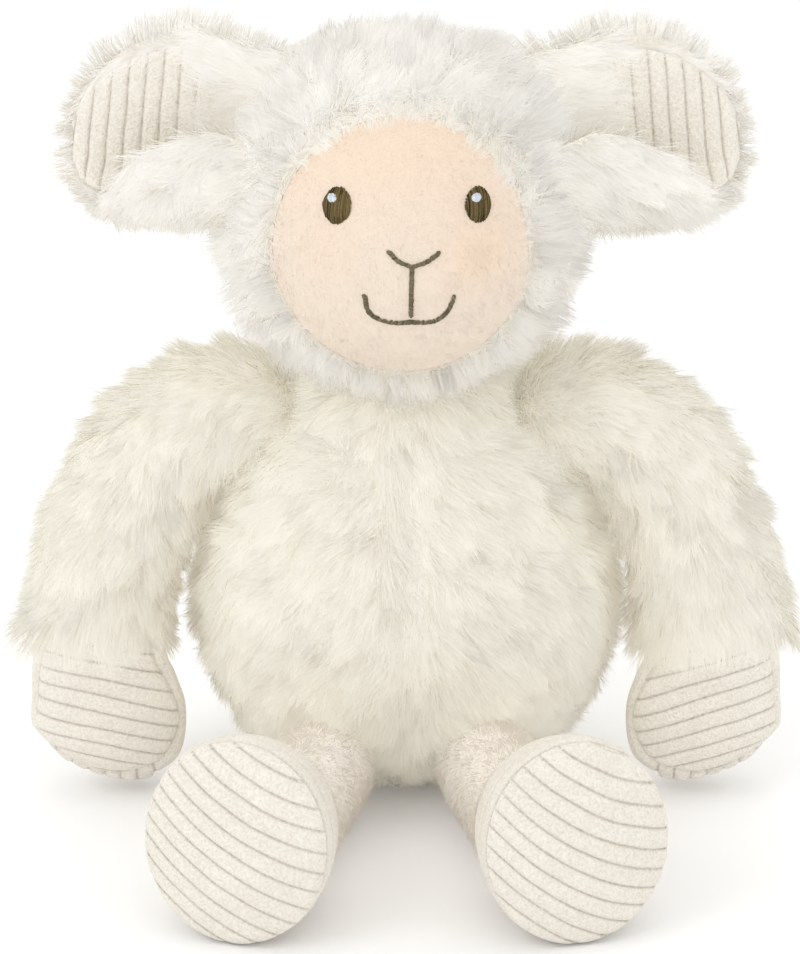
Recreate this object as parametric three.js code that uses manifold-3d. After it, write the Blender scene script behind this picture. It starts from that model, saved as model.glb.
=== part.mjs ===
// A seated plush sheep: long fur body, head, arms and tail, smooth face, corduroy ears, hands and feet.
// Millimetres, +Z up. The sheep looks along -Y, its own left side is +X, and it sits on the plane z = 0.
import * as THREE from 'three';
import { mergeVertices } from 'three/addons/utils/BufferGeometryUtils.js';
import Module from 'manifold-3d';

const wasm = await Module();
wasm.setup();

// Clearances shared by all pieces
const gap = 0.3;
const overrun = 6;
const footing = 0.5;
const weldReach = 0.001;

// Cloth thicknesses, pile included
const furPile = 8;
const headPile = 8;
const seatPile = 3;
const shortPile = 2.4;
const corduroy = 1.8;

// Body, over the fur
const bodyWidth = 129;
const bodyDepth = 112;
const pearHeight = 122;

// Neck ball: the top of the body and all that turns on it share this centre
const neckHeight = 104;
const neckBall = 36;
const neckPad = 5.4;
const neckPlug = 8;
const neckPadInnerAngle = 15;
const neckPadOuterAngle = 31;

// Bean bag in the seat
const beanBagWidth = 56;
const beanBagHeight = 26;

// Head, over the fur
const headWidth = 103;
const headDepth = 92;
const headHeight = 105;
const headMiddle = 177.5;
const headForward = 8;

// Face panel
const faceWidth = 82;
const faceHeight = 84;
const faceDepth = 34;
const faceMiddle = 174.5;
const faceForward = 26;
const faceSeam = 38;

// Embroidery on the face
const eyeWidth = 9.4;
const eyeHeight = 11.2;
const eyeRelief = 1.4;
const eyeSpacing = 39.4;
const eyeLevel = 190.2;
const highlightWidth = 2.6;
const highlightRelief = 1;
const highlightShift = 0.9;
const highlightRise = 1.6;
const threadWidth = 1.8;
const noseWidth = 13.6;
const noseTop = 179.5;
const noseFork = 174.6;
const mouthWidth = 24;
const mouthBottom = 158;
const mouthRise = 8.4;
const stitchShift = 1.5;

// Ears, measured along the ear from its root
const earRootOut = 46;
const earRootForward = 3;
const earMiddle = 201;
const earLength = 54;
const earWidth = 60;
const earRootRadius = 5;
const earRootWidth = 40;
const earThickness = 10.5;
const earCurl = 8.5;
const earTipCurl = 10;
const earLipStart = 12;
const earTipLipStart = 3;
const earDroop = 6;
const earSwing = 1;
const earFoldBack = 18;
const earFoldForward = 30;
const liningBorder = 7;
const liningOut = 3;
const liningRaise = 2;
const liningThickness = 2.4;
const liningDepth = 3.2;

// Arms, from the shoulder, set in from the body's side, to the tip of the hand
const shoulderInset = 19;
const shoulderHeight = 113;
const shoulderBall = 20;
const armReach = 44;
const armForward = 22;
const armDrop = 110;
const armWidth = 29;
const armDepth = 27;
const handWidth = 43;
const handDepth = 25;
const cuffSeam = 53;
const cuffHem = 46;
const handSeamForward = 3.5;
const handDome = 2;

// Legs, from the hip, set in from the body's front, to the sole
const hipOut = 24;
const hipInset = 11.6;
const hipHeight = 17.6;
const hipBall = 16.4;
const legSplay = 23;
const legReach = 76;
const legRise = 11.4;
const legWidth = 28;
const ankleReach = 42;
const footWidth = 49;
const footHeight = 54.5;
const soleDome = 4;

// Tail, set in from the body's back
const tailInset = 4;
const tailRootHeight = 36;
const tailBall = 8;
const tailLength = 34;
const tailDrop = 15;
const tailWidth = 22;
const tailSwing = 3.5;
const tailDome = 2.75;

// Facet counts
const roundSides = 20;
const skinSides = 10;
const faceSides = 20;
const limbSides = 12;
const earSides = 28;
const ballSides = 12;
const hipSides = 16;
const threadArcs = 3;
const mouthSteps = 11;
const noseSteps = 3;
const ovalSides = 10;
const seatSides = 22;
const profileSteps = 12;
const skinSteps = 8;
const neckPadSteps = 4;
const sweepSteps = 12;
const earFoldSteps = 6;
const ballRowShare = 0.7;
const ovalRowShare = 0.6;
const limbRingShare = 1.3;

// Outlines and sections as shares of the sizes above.
// Body: half width, height from the seat to the top of the pear.
const bodyWidestShare = 0.46;
const bodyOutlineShares = [
  [0, 0], [0.25, 0], [0.4, 0.006], [0.56, 0.035], [0.75, 0.1], [0.9, 0.215], [0.98, 0.35],
  [1, bodyWidestShare], [0.97, 0.585], [0.895, 0.7], [0.79, 0.8], [0.68, 0.885], [0.57, 0.94],
  [0.38, 0.985], [0, 1],
];
// Head: half width, height from the chin to the crown, full at the cheeks.
const headOutlineShares = [
  [0, 0], [0.38, 0.03], [0.7, 0.115], [0.9, 0.25], [0.99, 0.42], [0.985, 0.6], [0.86, 0.79],
  [0.6, 0.925], [0.3, 0.985], [0, 1],
];
// Bean bag: half width, height, flatter below than above.
const beanBagOutlineShares = [[0, 0], [0.62, 0.02], [0.93, 0.22], [0.98, 0.5], [0.7, 0.88], [0, 1]];
// Arm and hand: reach, forward, drop, half width and half depth of the stuffed form.
const armSectionShares = [
  [-0.22, 0, -0.005, 0.56, 0.56], [0, 0, 0, 0.83, 0.86], [0.33, 0.09, 0.01, 0.93, 0.96],
  [0.65, 0.27, 0.1, 1, 1], [0.87, 0.5, 0.27, 1.02, 1], [1, 0.7, 0.46, 1.1, 0.98],
  [1.05, 0.86, 0.63, 1.24, 0.93],
];
// Hand: the same places, with half width and half depth as shares of the hand.
const handSectionShares = [
  [1.03, 0.93, 0.72, 0.93, 0.93], [1, 0.98, 0.8, 1, 1], [1.01, 1, 0.88, 0.95, 0.93],
  [1.05, 1, 0.93, 0.7, 0.7],
];
// Leg: splay, reach and rise, with half width and half height as shares of the leg.
const legSectionShares = [
  [-0.03, -0.13, 0, 0.55, 0.55], [0, 0, 0, 0.88, 0.88], [0.2, 0.2, 0, 0.97, 0.97],
  [0.42, 0.4, 0.02, 1.03, 1.06],
];
// Foot: the same places, with half width and half height as shares of the foot.
const footSectionShares = [
  [0.58, 0.555, 0.13, 0.66, 0.61], [0.73, 0.7, 0.5, 0.85, 0.8], [0.86, 0.84, 0.82, 0.97, 0.94],
  [0.94, 0.93, 0.95, 1, 1], [1, 1, 1.02, 0.985, 0.985],
];
// Ear: distance from the root along its length, half width, thickness.
const earOutlineShares = [
  [0, 0.84, 0.72], [0.16, 0.94, 0.85], [0.4, 1, 1], [0.62, 0.94, 1], [0.8, 0.76, 1], [0.92, 0.5, 0.9],
  [0.985, 0.22, 0.65],
];
// How much wider the ear is cut below its middle than above it, along its length: this part is folded up
// in front and opens towards the tip.
const earFoldShares = [[0, 2.1], [0.3, 2.1], [0.55, 2], [0.8, 1.75], [0.92, 1.35], [1, 1.1]];
// How much the lining narrows above its middle on the way to the tip.
const liningTaperShare = 0.35;
// How much of the ear's thickness lies in front of its middle plane, and how full its edges are.
const earFrontShare = 1 / 3;
const earEdgeShare = 0.8;
// Tail: distance along it, drop, half width.
const tailSectionShares = [
  [-0.16, 0, 0.45], [0, 0, 0.66], [0.25, 0.12, 0.85], [0.5, 0.36, 1], [0.75, 0.68, 0.92], [0.93, 0.93, 0.6],
];
// Mouth: half width from the middle, rise above its lowest stitch.
const mouthShares = [[-1, 1], [-0.88, 0.36], [-0.5, 0.04], [0, 0], [0.5, 0.08], [0.84, 0.44], [0.98, 1]];

// Colours and finishes
const cloth = {
  bodyFur: { color: 0xeae5da, roughness: 0.95 },
  headFur: { color: 0xefefea, roughness: 0.95 },
  faceFleece: { color: 0xf4dcc4, roughness: 0.85 },
  corduroy: { color: 0xeeeadf, roughness: 0.9 },
  legFleece: { color: 0xe8dacb, roughness: 0.9 },
  brownThread: { color: 0x5c5140, roughness: 0.6 },
  eyeThread: { color: 0x3d3524, roughness: 0.55 },
  whiteThread: { color: 0xe6edf3, roughness: 0.5 },
  stuffing: { color: 0xf8f8f5, roughness: 1 },
  beanCloth: { color: 0xd9d6cc, roughness: 0.8 },
};

const sheep = new THREE.Group();
const up = new THREE.Vector3(0, 0, 1);
const back = new THREE.Vector3(0, 1, 0);
const neckCentre = new THREE.Vector3(0, 0, neckHeight);
const shoulderOut = bodyWidth / 2 - shoulderInset;
const hipForward = bodyDepth / 2 - hipInset;
const tailRootBack = bodyDepth / 2 - tailInset;

function addPiece(name, solid, finish) {
  const material = new THREE.MeshStandardMaterial({ ...finish, metalness: 0 });
  const mesh = new THREE.Mesh(toGeometry(solid), material);
  mesh.name = name;
  sheep.add(mesh);
}

// Solids and booleans

function signedVolume(positions, triangles) {
  let volume = 0;
  const [a, b, c] = [new THREE.Vector3(), new THREE.Vector3(), new THREE.Vector3()];
  for (let i = 0; i < triangles.length; i += 3) {
    a.fromArray(positions, triangles[i] * 3);
    b.fromArray(positions, triangles[i + 1] * 3);
    c.fromArray(positions, triangles[i + 2] * 3);
    volume += a.dot(b.cross(c));
  }
  return volume;
}

function toSolid(geometry) {
  const bare = geometry.clone();
  bare.deleteAttribute('normal');
  bare.deleteAttribute('uv');
  const merged = mergeVertices(bare, weldReach);
  const positions = merged.attributes.position.array;
  const index = merged.index.array;
  const triangles = [];
  for (let i = 0; i < index.length; i += 3) {
    const [a, b, c] = [index[i], index[i + 1], index[i + 2]];
    if (a !== b && b !== c && a !== c) triangles.push(a, b, c);
  }
  if (signedVolume(positions, triangles) < 0) triangles.reverse();
  const mesh = new wasm.Mesh({
    numProp: 3,
    vertProperties: new Float32Array(positions),
    triVerts: new Uint32Array(triangles),
  });
  return new wasm.Manifold(mesh);
}

function toGeometry(solid) {
  const mesh = solid.getMesh();
  const geometry = new THREE.BufferGeometry();
  geometry.setAttribute('position', new THREE.BufferAttribute(mesh.vertProperties, 3));
  geometry.setIndex(new THREE.BufferAttribute(mesh.triVerts, 1));
  geometry.computeVertexNormals();
  return geometry;
}

function largestBody(solid) {
  const bodies = solid.decompose();
  return bodies.sort((a, b) => b.volume() - a.volume())[0];
}

function ball(centre, radius, sides = ballSides) {
  const geometry = new THREE.SphereGeometry(radius, sides, Math.round(sides * ballRowShare));
  return toSolid(geometry.rotateX(Math.PI / 2).translate(centre.x, centre.y, centre.z));
}

// A ball-shaped hollow whose facets all stay clear of a ball of the given radius.
function hollowBall(centre, radius, sides = ballSides) {
  const rows = Math.round(sides * ballRowShare);
  const facetShare = Math.cos(Math.PI / sides) * Math.cos(Math.PI / (2 * rows));
  return ball(centre, (radius + gap) / facetShare, sides);
}

function box(from, to) {
  const size = to.clone().sub(from);
  const middle = from.clone().add(to).multiplyScalar(0.5);
  return toSolid(new THREE.BoxGeometry(size.x, size.y, size.z).translate(middle.x, middle.y, middle.z));
}

// All that lies on the side of a plane that its normal points to, as far as the sheep reaches.
function halfSpace(point, normal) {
  const reach = headMiddle + headHeight;
  const geometry = new THREE.BoxGeometry(reach * 2, reach * 2, reach * 2).translate(0, 0, reach);
  geometry.applyQuaternion(new THREE.Quaternion().setFromUnitVectors(up, normal.clone().normalize()));
  return toSolid(geometry.translate(point.x, point.y, point.z));
}

function aboveFloor(solid) {
  return solid.intersect(halfSpace(new THREE.Vector3(), up));
}

// Forms

// A turned form about a vertical axis, oval in plan. The inset draws every wall in.
function turnedForm(outlineShares, size, inset, sides, bottomInset = inset) {
  const radius = size.width / 2 - inset;
  const height = size.height - inset - bottomInset;
  const outline = new THREE.SplineCurve(
    outlineShares.map(([across, tall]) => new THREE.Vector2(across * radius, bottomInset + tall * height)),
  );
  const points = outline.getPoints(inset > 0 ? skinSteps : profileSteps);
  points.forEach((point) => point.setX(Math.max(point.x, 0)));
  points[0].setX(0);
  points[points.length - 1].setX(0);
  const geometry = new THREE.LatheGeometry(points, sides).rotateX(Math.PI / 2);
  geometry.scale(1, (size.depth / 2 - inset) / radius, 1);
  return geometry;
}

// A closed form through rings of points, with a point in the middle of each end.
function ringsForm(rings, startPole, endPole) {
  const sides = rings[0].length;
  const points = [startPole, ...rings.flat(), endPole];
  const last = points.length - 1;
  const index = [];
  for (let side = 0; side < sides; side += 1) {
    const next = (side + 1) % sides;
    index.push(0, 1 + next, 1 + side);
    index.push(last, last - sides + side, last - sides + next);
    for (let ring = 0; ring < rings.length - 1; ring += 1) {
      const low = 1 + ring * sides;
      const high = low + sides;
      index.push(low + side, low + next, high + next);
      index.push(low + side, high + next, high + side);
    }
  }
  const geometry = new THREE.BufferGeometry().setFromPoints(points);
  geometry.setIndex(index);
  return geometry;
}

// A stuffed limb: oval sections along a smooth spine. Each section has a place and two half sizes.
// The grow value moves its wall out, or in where it is negative. The far end swells by its dome.
function limbForm(sections, across, grow, sides, endDome) {
  const spine = new THREE.CatmullRomCurve3(sections.map((section) => section.place));
  const halves = new THREE.CatmullRomCurve3(
    sections.map((section) => new THREE.Vector3(section.halfWidth, section.halfDepth, 0)),
  );
  const steps = Math.round((sections.length - 1) * limbRingShare);
  const rings = [];
  for (let step = 0; step <= steps; step += 1) {
    const place = spine.getPoint(step / steps);
    const along = spine.getTangent(step / steps);
    const size = halves.getPoint(step / steps);
    const wide = across.clone().cross(along).normalize();
    const deep = along.clone().cross(wide).normalize();
    const ring = [];
    for (let side = 0; side < sides; side += 1) {
      const angle = (side / sides) * Math.PI * 2;
      const point = place.clone();
      point.addScaledVector(wide, Math.cos(angle) * (size.x + grow));
      point.addScaledVector(deep, Math.sin(angle) * (size.y + grow));
      ring.push(point);
    }
    rings.push(ring);
  }
  const startPole = spine.getPoint(0).addScaledVector(spine.getTangent(0), -grow);
  const endPole = spine.getPoint(1).addScaledVector(spine.getTangent(1), endDome + grow);
  return ringsForm(rings, startPole, endPole);
}

// Body, with its bean bag, stuffing and sockets

const bodySize = { width: bodyWidth, depth: bodyDepth, height: pearHeight + footing };

function bodyForm(inset, sides) {
  const bottomInset = inset ? seatPile + footing + inset - furPile : 0;
  const pear = turnedForm(bodyOutlineShares, bodySize, inset, sides, bottomInset).translate(0, 0, -footing);
  return toSolid(pear).add(ball(neckCentre, neckBall - inset, sides));
}

// Half width of the body over the fur, at a height above the seat, and nothing above the pear.
function bodyHalfWidth(height) {
  const tall = height / pearHeight;
  const upper = bodyOutlineShares.findIndex((share, row) => row > 0 && share[1] >= tall);
  if (upper < 0) return 0;
  const [lowAcross, lowTall] = bodyOutlineShares[upper - 1];
  const [highAcross, highTall] = bodyOutlineShares[upper];
  const between = (tall - lowTall) / (highTall - lowTall);
  return (bodyWidth / 2) * (lowAcross + (highAcross - lowAcross) * between);
}

const hips = [1, -1].map((side) => new THREE.Vector3(hipOut * side, -hipForward, hipHeight));
const shoulders = [1, -1].map((side) => new THREE.Vector3(shoulderOut * side, 0, shoulderHeight));
const tailRoot = new THREE.Vector3(0, tailRootBack, tailRootHeight);

function cutSockets(solid) {
  let cut = solid;
  shoulders.forEach((place) => {
    cut = cut.subtract(hollowBall(place, shoulderBall));
  });
  hips.forEach((place) => {
    cut = cut.subtract(hollowBall(place, hipBall, hipSides));
  });
  return cut.subtract(hollowBall(tailRoot, tailBall));
}

function neckPlugForm(grow) {
  const length = neckBall + neckPad - grow;
  const geometry = new THREE.CylinderGeometry(neckPlug + grow, neckPlug + grow, length + overrun, ovalSides);
  const column = geometry.rotateX(Math.PI / 2).translate(0, 0, (length + overrun) / 2);
  return toSolid(column.translate(0, 0, neckHeight));
}

function addBody() {
  const beans = { width: beanBagWidth, depth: beanBagWidth, height: beanBagHeight };
  const beanForm = (grow) => toSolid(
    turnedForm(beanBagOutlineShares, beans, -grow, ovalSides).translate(0, 0, seatPile + gap + gap),
  );
  const cover = bodyForm(0, roundSides).subtract(bodyForm(furPile, skinSides));
  const opened = cover.subtract(neckPlugForm(gap));
  addPiece('body_cover', largestBody(aboveFloor(cutSockets(opened))), cloth.bodyFur);

  const plug = neckPlugForm(0).intersect(ball(neckCentre, neckBall + neckPad, roundSides));
  const filled = bodyForm(furPile + gap, skinSides).add(plug);
  const room = beanForm(gap).add(box(
    new THREE.Vector3(-neckPlug, -neckPlug, 0),
    new THREE.Vector3(neckPlug, neckPlug, seatPile + beanBagHeight / 2),
  ));
  addPiece('body_stuffing', largestBody(cutSockets(filled).subtract(room)), cloth.stuffing);
  addPiece('seat_bean_bag', beanForm(0), cloth.beanCloth);
}

// Neck pad: the gathered seam between body and head, a ring that lies on the neck ball.
function addNeckPad() {
  const inner = neckBall + gap;
  const outer = neckBall + neckPad - gap;
  const sweep = neckPadOuterAngle - neckPadInnerAngle;
  const angles = Array.from({ length: neckPadSteps + 1 }, (unused, step) => THREE.MathUtils.degToRad(
    neckPadInnerAngle + (sweep * step) / neckPadSteps,
  ));
  const arc = (radius) => angles.map((a) => new THREE.Vector2(radius * Math.sin(a), radius * Math.cos(a)));
  const outline = [...arc(outer), ...arc(inner).reverse()];
  outline.push(outline[0].clone());
  const ring = new THREE.LatheGeometry(outline, roundSides).rotateX(Math.PI / 2).translate(0, 0, neckHeight);
  addPiece('neck_seam', toSolid(ring), cloth.headFur);
}

// Head and face

const headSize = { width: headWidth, depth: headDepth, height: headHeight };

function headForm(inset, sides) {
  const geometry = turnedForm(headOutlineShares, headSize, inset, sides);
  return toSolid(geometry.translate(0, -headForward, headMiddle - headHeight / 2));
}

function faceForm(inset, sides) {
  const geometry = new THREE.SphereGeometry(1, sides, Math.round(sides * ovalRowShare));
  geometry.scale(faceWidth / 2 - inset, faceDepth - inset, faceHeight / 2 - inset);
  return toSolid(geometry.translate(0, -faceForward, faceMiddle));
}

// The point of the face panel in front of a place on the upright plane through the face.
function onFace(x, z, lift = 0) {
  const across = x / (faceWidth / 2);
  const tall = (z - faceMiddle) / (faceHeight / 2);
  const depth = Math.sqrt(1 - across * across - tall * tall);
  const normal = new THREE.Vector3(
    across / (faceWidth / 2), -depth / faceDepth, tall / (faceHeight / 2),
  ).normalize();
  const point = new THREE.Vector3(x, -faceForward - depth * faceDepth, z);
  return { point: point.addScaledVector(normal, lift), normal };
}

// An embroidered oval that stands out from the face by its relief.
function ovalPatch(x, z, width, height, relief, lift) {
  const { point, normal } = onFace(x, z, lift);
  const geometry = new THREE.SphereGeometry(1, ovalSides, Math.round(ovalSides * ovalRowShare));
  geometry.scale(width / 2, relief, height / 2);
  geometry.applyQuaternion(new THREE.Quaternion().setFromUnitVectors(back.clone().negate(), normal));
  return toSolid(geometry.translate(point.x, point.y, point.z));
}

// A line of satin stitches along places on the face.
function stitchLine(places, radius, steps) {
  const path = new THREE.CatmullRomCurve3(places.map(([x, z]) => onFace(x, z).point));
  const section = new THREE.Shape().absarc(0, 0, radius, 0, Math.PI * 2);
  const geometry = new THREE.ExtrudeGeometry(section, {
    steps, curveSegments: threadArcs, extrudePath: path,
  });
  return toSolid(geometry);
}

function noseForm(grow) {
  const radius = threadWidth / 2 + grow;
  const arm = (side) => stitchLine([
    [stitchShift + (side * noseWidth) / 2, noseTop],
    [stitchShift + (side * noseWidth) / 4, (noseTop + noseFork) / 2 - threadWidth / 4],
    [stitchShift, noseFork],
  ], radius, noseSteps);
  const stem = stitchLine([
    [stitchShift, noseFork + threadWidth / 2],
    [stitchShift, (noseFork + mouthBottom) / 2],
    [stitchShift, mouthBottom + threadWidth + gap + gap],
  ], radius, noseSteps);
  return arm(1).add(arm(-1)).add(stem);
}

function mouthForm(grow) {
  const half = mouthWidth / 2;
  const places = mouthShares.map(([across, rise]) => [
    stitchShift + across * half, mouthBottom + rise * mouthRise,
  ]);
  return stitchLine(places, threadWidth / 2 + grow, mouthSteps);
}

function eyeForm(side, grow) {
  const place = (side * eyeSpacing) / 2;
  return ovalPatch(place, eyeLevel, eyeWidth + grow * 2, eyeHeight + grow * 2, eyeRelief + grow, 0);
}

function highlightForm(side, grow) {
  const place = (side * eyeSpacing) / 2 - highlightShift;
  const width = highlightWidth + grow * 2;
  return ovalPatch(place, eyeLevel + highlightRise, width, width, highlightRelief + grow, eyeRelief);
}

function addHead() {
  const seat = hollowBall(neckCentre, neckBall + neckPad, seatSides);
  const seamPlane = new THREE.Vector3(0, -faceSeam, 0);
  const faceFront = halfSpace(seamPlane, back.clone().negate());
  const panelZone = faceForm(-gap, faceSides).intersect(
    halfSpace(seamPlane.clone().addScaledVector(back, gap), back.clone().negate()),
  );
  const coverWall = headForm(0, roundSides).subtract(headForm(headPile, skinSides));
  const cover = coverWall.subtract(faceForm(-gap, faceSides)).subtract(seat);
  addPiece('head_cover', largestBody(cutEarSeats(cover)), cloth.headFur);

  const faceFill = faceForm(shortPile + gap, skinSides);
  const headFill = headForm(headPile + gap, skinSides).subtract(panelZone).add(faceFill);
  addPiece('head_stuffing', largestBody(cutEarSeats(headFill.subtract(seat))), cloth.stuffing);

  const panel = faceForm(0, faceSides).subtract(faceForm(shortPile, skinSides)).intersect(faceFront);
  const carved = [noseForm(gap), mouthForm(gap), eyeForm(1, gap), eyeForm(-1, gap)]
    .reduce((rest, tool) => rest.subtract(tool), panel);
  addPiece('face_panel', largestBody(carved), cloth.faceFleece);

  const backing = faceForm(shortPile / 2, faceSides);
  addPiece('nose_stitch', largestBody(noseForm(0).subtract(backing)), cloth.brownThread);
  addPiece('mouth_stitch', largestBody(mouthForm(0).subtract(backing)), cloth.brownThread);
  [['left', 1], ['right', -1]].forEach(([name, side]) => {
    const eye = eyeForm(side, 0).subtract(backing).subtract(highlightForm(side, gap));
    addPiece(`${name}_eye`, largestBody(eye), cloth.eyeThread);
    addPiece(`${name}_eye_highlight`, highlightForm(side, 0), cloth.whiteThread);
  });
}

// Ears: a curled tongue of fur with a corduroy lining let into its front

// A place on the ear from its distance along the ear, up its width and out of its front. Below the
// start of the lip the cloth rolls forward, half a turn at most, and then runs up again.
function earPlace(side, along, upward, outward) {
  const share = THREE.MathUtils.clamp(along / earLength, 0, 1);
  const start = -THREE.MathUtils.lerp(earLipStart, earTipLipStart, share);
  const radius = THREE.MathUtils.lerp(earCurl, earTipCurl, share ** 2);
  const past = Math.max(start - upward, 0);
  const turn = Math.min(past / radius, Math.PI);
  const rest = past - turn * radius;
  const height = Math.max(upward, start) - (radius - outward) * Math.sin(turn) - rest * Math.cos(turn);
  const forward = radius - (radius - outward) * Math.cos(turn) + rest * Math.sin(turn);
  const droop = earDroop * share ** 2;
  return new THREE.Vector3(
    side * (earRootOut + along), -earRootForward - forward, earMiddle + height - droop,
  );
}

function earFold(share) {
  const row = Math.max(1, earFoldShares.findIndex(([along]) => along >= share));
  const [[low, less], [high, more]] = [earFoldShares[row - 1], earFoldShares[row]];
  return less + ((more - less) * (share - low)) / (high - low);
}

function earPad(side, border, outShift, shift, front, rear, grow, folded) {
  const sides = earSides;
  const outline = new THREE.CatmullRomCurve3(earOutlineShares.map((share) => new THREE.Vector3(...share)));
  const steps = earOutlineShares.length + 1;
  const length = earLength - border - border + grow;
  const middle = (front + rear) / 2;
  const thick = (front - rear) / 2 + grow;
  const rings = [];
  for (let step = 0; step <= steps; step += 1) {
    const share = outline.getPoint(step / steps);
    const half = share.y * (earWidth / 2 - border) + grow;
    const ring = [];
    for (let i = 0; i < sides; i += 1) {
      const angle = (i / sides) * Math.PI * 2;
      const across = Math.sign(Math.cos(angle)) * Math.abs(Math.cos(angle)) ** earEdgeShare;
      const reached = THREE.MathUtils.clamp(share.x, 0, 1);
      const above = folded ? 1 : 1 - liningTaperShare * reached;
      const below = folded ? earFold(reached) : 1;
      const upward = shift + across * half * (across < 0 ? below : above);
      const outward = middle + Math.sin(angle) * thick * share.z;
      ring.push(earPlace(side, share.x * length + border + outShift, upward, outward));
    }
    rings.push(ring);
  }
  const startPole = earPlace(side, border + outShift - grow, shift, middle);
  const endPole = earPlace(side, length + border + outShift, shift, middle);
  return toSolid(ringsForm(rings, startPole, endPole));
}

// The rolled root that the ear turns on.
function earRoot(side, grow, length) {
  const geometry = new THREE.CylinderGeometry(earRootRadius + grow, earRootRadius + grow, length, ovalSides);
  return toSolid(geometry.rotateX(Math.PI / 2).translate(side * earRootOut, -earRootForward, earMiddle));
}

function cutEarSeats(solid) {
  const wide = (earRootRadius + gap) / Math.cos(Math.PI / ovalSides);
  const length = earRootWidth + gap + gap;
  return [1, -1].reduce((rest, side) => {
    const mouth = box(
      new THREE.Vector3(side * earRootOut, -earRootForward - wide, earMiddle - length / 2),
      new THREE.Vector3(side * (earRootOut + headWidth), -earRootForward + wide, earMiddle + length / 2),
    );
    return rest.subtract(earRoot(side, wide - earRootRadius, length)).subtract(mouth);
  }, solid);
}

// The head swept round the ear's root, which the ear stays clear of as it folds.
function sweptHead(side) {
  const away = headForm(-earSwing, roundSides).translate([-side * earRootOut, earRootForward, 0]);
  let swept = away;
  for (let step = 0; step <= earFoldSteps; step += 1) {
    const angle = -earFoldBack + ((earFoldBack + earFoldForward) * step) / earFoldSteps;
    swept = swept.add(away.rotate([0, 0, side * angle]));
  }
  return swept.translate([side * earRootOut, -earRootForward, 0]);
}

function addEar(name, side) {
  const liningFront = liningDepth + liningThickness / 2;
  const liningRear = liningDepth - liningThickness / 2;
  const lining = (grow) => earPad(
    side, liningBorder, liningOut, liningRaise, liningFront, liningRear, grow, false,
  );
  const earFront = earThickness * earFrontShare;
  const tongue = earPad(side, 0, 0, 0, earFront, earFront - earThickness, 0, true);
  const fur = tongue.subtract(sweptHead(side)).add(earRoot(side, 0, earRootWidth));
  addPiece(`${name}_ear_back`, largestBody(fur.subtract(lining(gap))), cloth.headFur);
  addPiece(`${name}_ear_lining`, largestBody(lining(0)), cloth.corduroy);
}

// Arms and hands

function armSections(side) {
  const place = ([out, forward, drop]) => new THREE.Vector3(
    side * (shoulderOut + out * armReach), -forward * armForward, shoulderHeight - drop * armDrop,
  );
  const upper = armSectionShares.map((row) => ({
    place: place(row), halfWidth: (row[3] * armWidth) / 2, halfDepth: (row[4] * armDepth) / 2,
  }));
  const lower = handSectionShares.map((row) => ({
    place: place(row), halfWidth: (row[3] * handWidth) / 2, halfDepth: (row[4] * handDepth) / 2,
  }));
  return [...upper, ...lower];
}

// The body's side swept round the shoulder's axis, which the arm stays clear of as it swings.
function sweptSide(side, grow) {
  const reach = shoulderHeight - overrun;
  const outline = [new THREE.Vector2(0, 0), new THREE.Vector2(reach, 0)];
  for (let step = sweepSteps; step >= 0; step -= 1) {
    const radius = (reach * step) / sweepSteps;
    const height = Math.max(shoulderHeight - radius, pearHeight * bodyWidestShare);
    outline.push(new THREE.Vector2(radius, bodyHalfWidth(height) + grow));
  }
  const bell = new THREE.LatheGeometry(outline, roundSides).rotateZ(-Math.PI / 2);
  if (side < 0) bell.rotateZ(Math.PI);
  return toSolid(bell.translate(0, 0, shoulderHeight));
}

function addArm(name, side) {
  const sections = armSections(side);
  const form = (grow) => toSolid(limbForm(sections, back, grow, limbSides, handDome));
  const below = (height) => halfSpace(new THREE.Vector3(0, 0, height), up.clone().negate());
  const shoulder = shoulders[side > 0 ? 0 : 1];

  const fur = form(furPile).subtract(sweptSide(side, gap)).subtract(below(cuffHem));
  const sleeve = fur.add(ball(shoulder, shoulderBall)).subtract(form(gap));
  const handRoom = form(corduroy + gap).intersect(below(cuffSeam + gap));
  addPiece(`${name}_arm_sleeve`, largestBody(sleeve.subtract(handRoom)), cloth.bodyFur);

  const mitt = form(corduroy).subtract(form(gap)).intersect(below(cuffSeam));
  const seam = (forward) => new THREE.Vector3(0, -armForward - forward, 0);
  const front = mitt.intersect(halfSpace(seam(handSeamForward + gap / 2), back.clone().negate()));
  const rear = mitt.intersect(halfSpace(seam(handSeamForward - gap / 2), back));
  addPiece(`${name}_hand_front`, largestBody(front), cloth.corduroy);
  addPiece(`${name}_hand_back`, largestBody(rear), cloth.corduroy);

  const filling = form(0).subtract(sweptSide(side, furPile / 2));
  addPiece(`${name}_arm_stuffing`, largestBody(filling), cloth.stuffing);
}

// Legs and feet

function legSections(side) {
  const place = ([splay, reach, rise]) => new THREE.Vector3(
    side * (hipOut + splay * legSplay), -hipForward - reach * legReach, hipHeight + rise * legRise,
  );
  const leg = legSectionShares.map((row) => ({
    place: place(row), halfWidth: (row[3] * legWidth) / 2, halfDepth: (row[4] * legWidth) / 2,
  }));
  const foot = footSectionShares.map((row) => ({
    place: place(row), halfWidth: (row[3] * footWidth) / 2, halfDepth: (row[4] * footHeight) / 2,
  }));
  return [...leg, ...foot];
}

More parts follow.
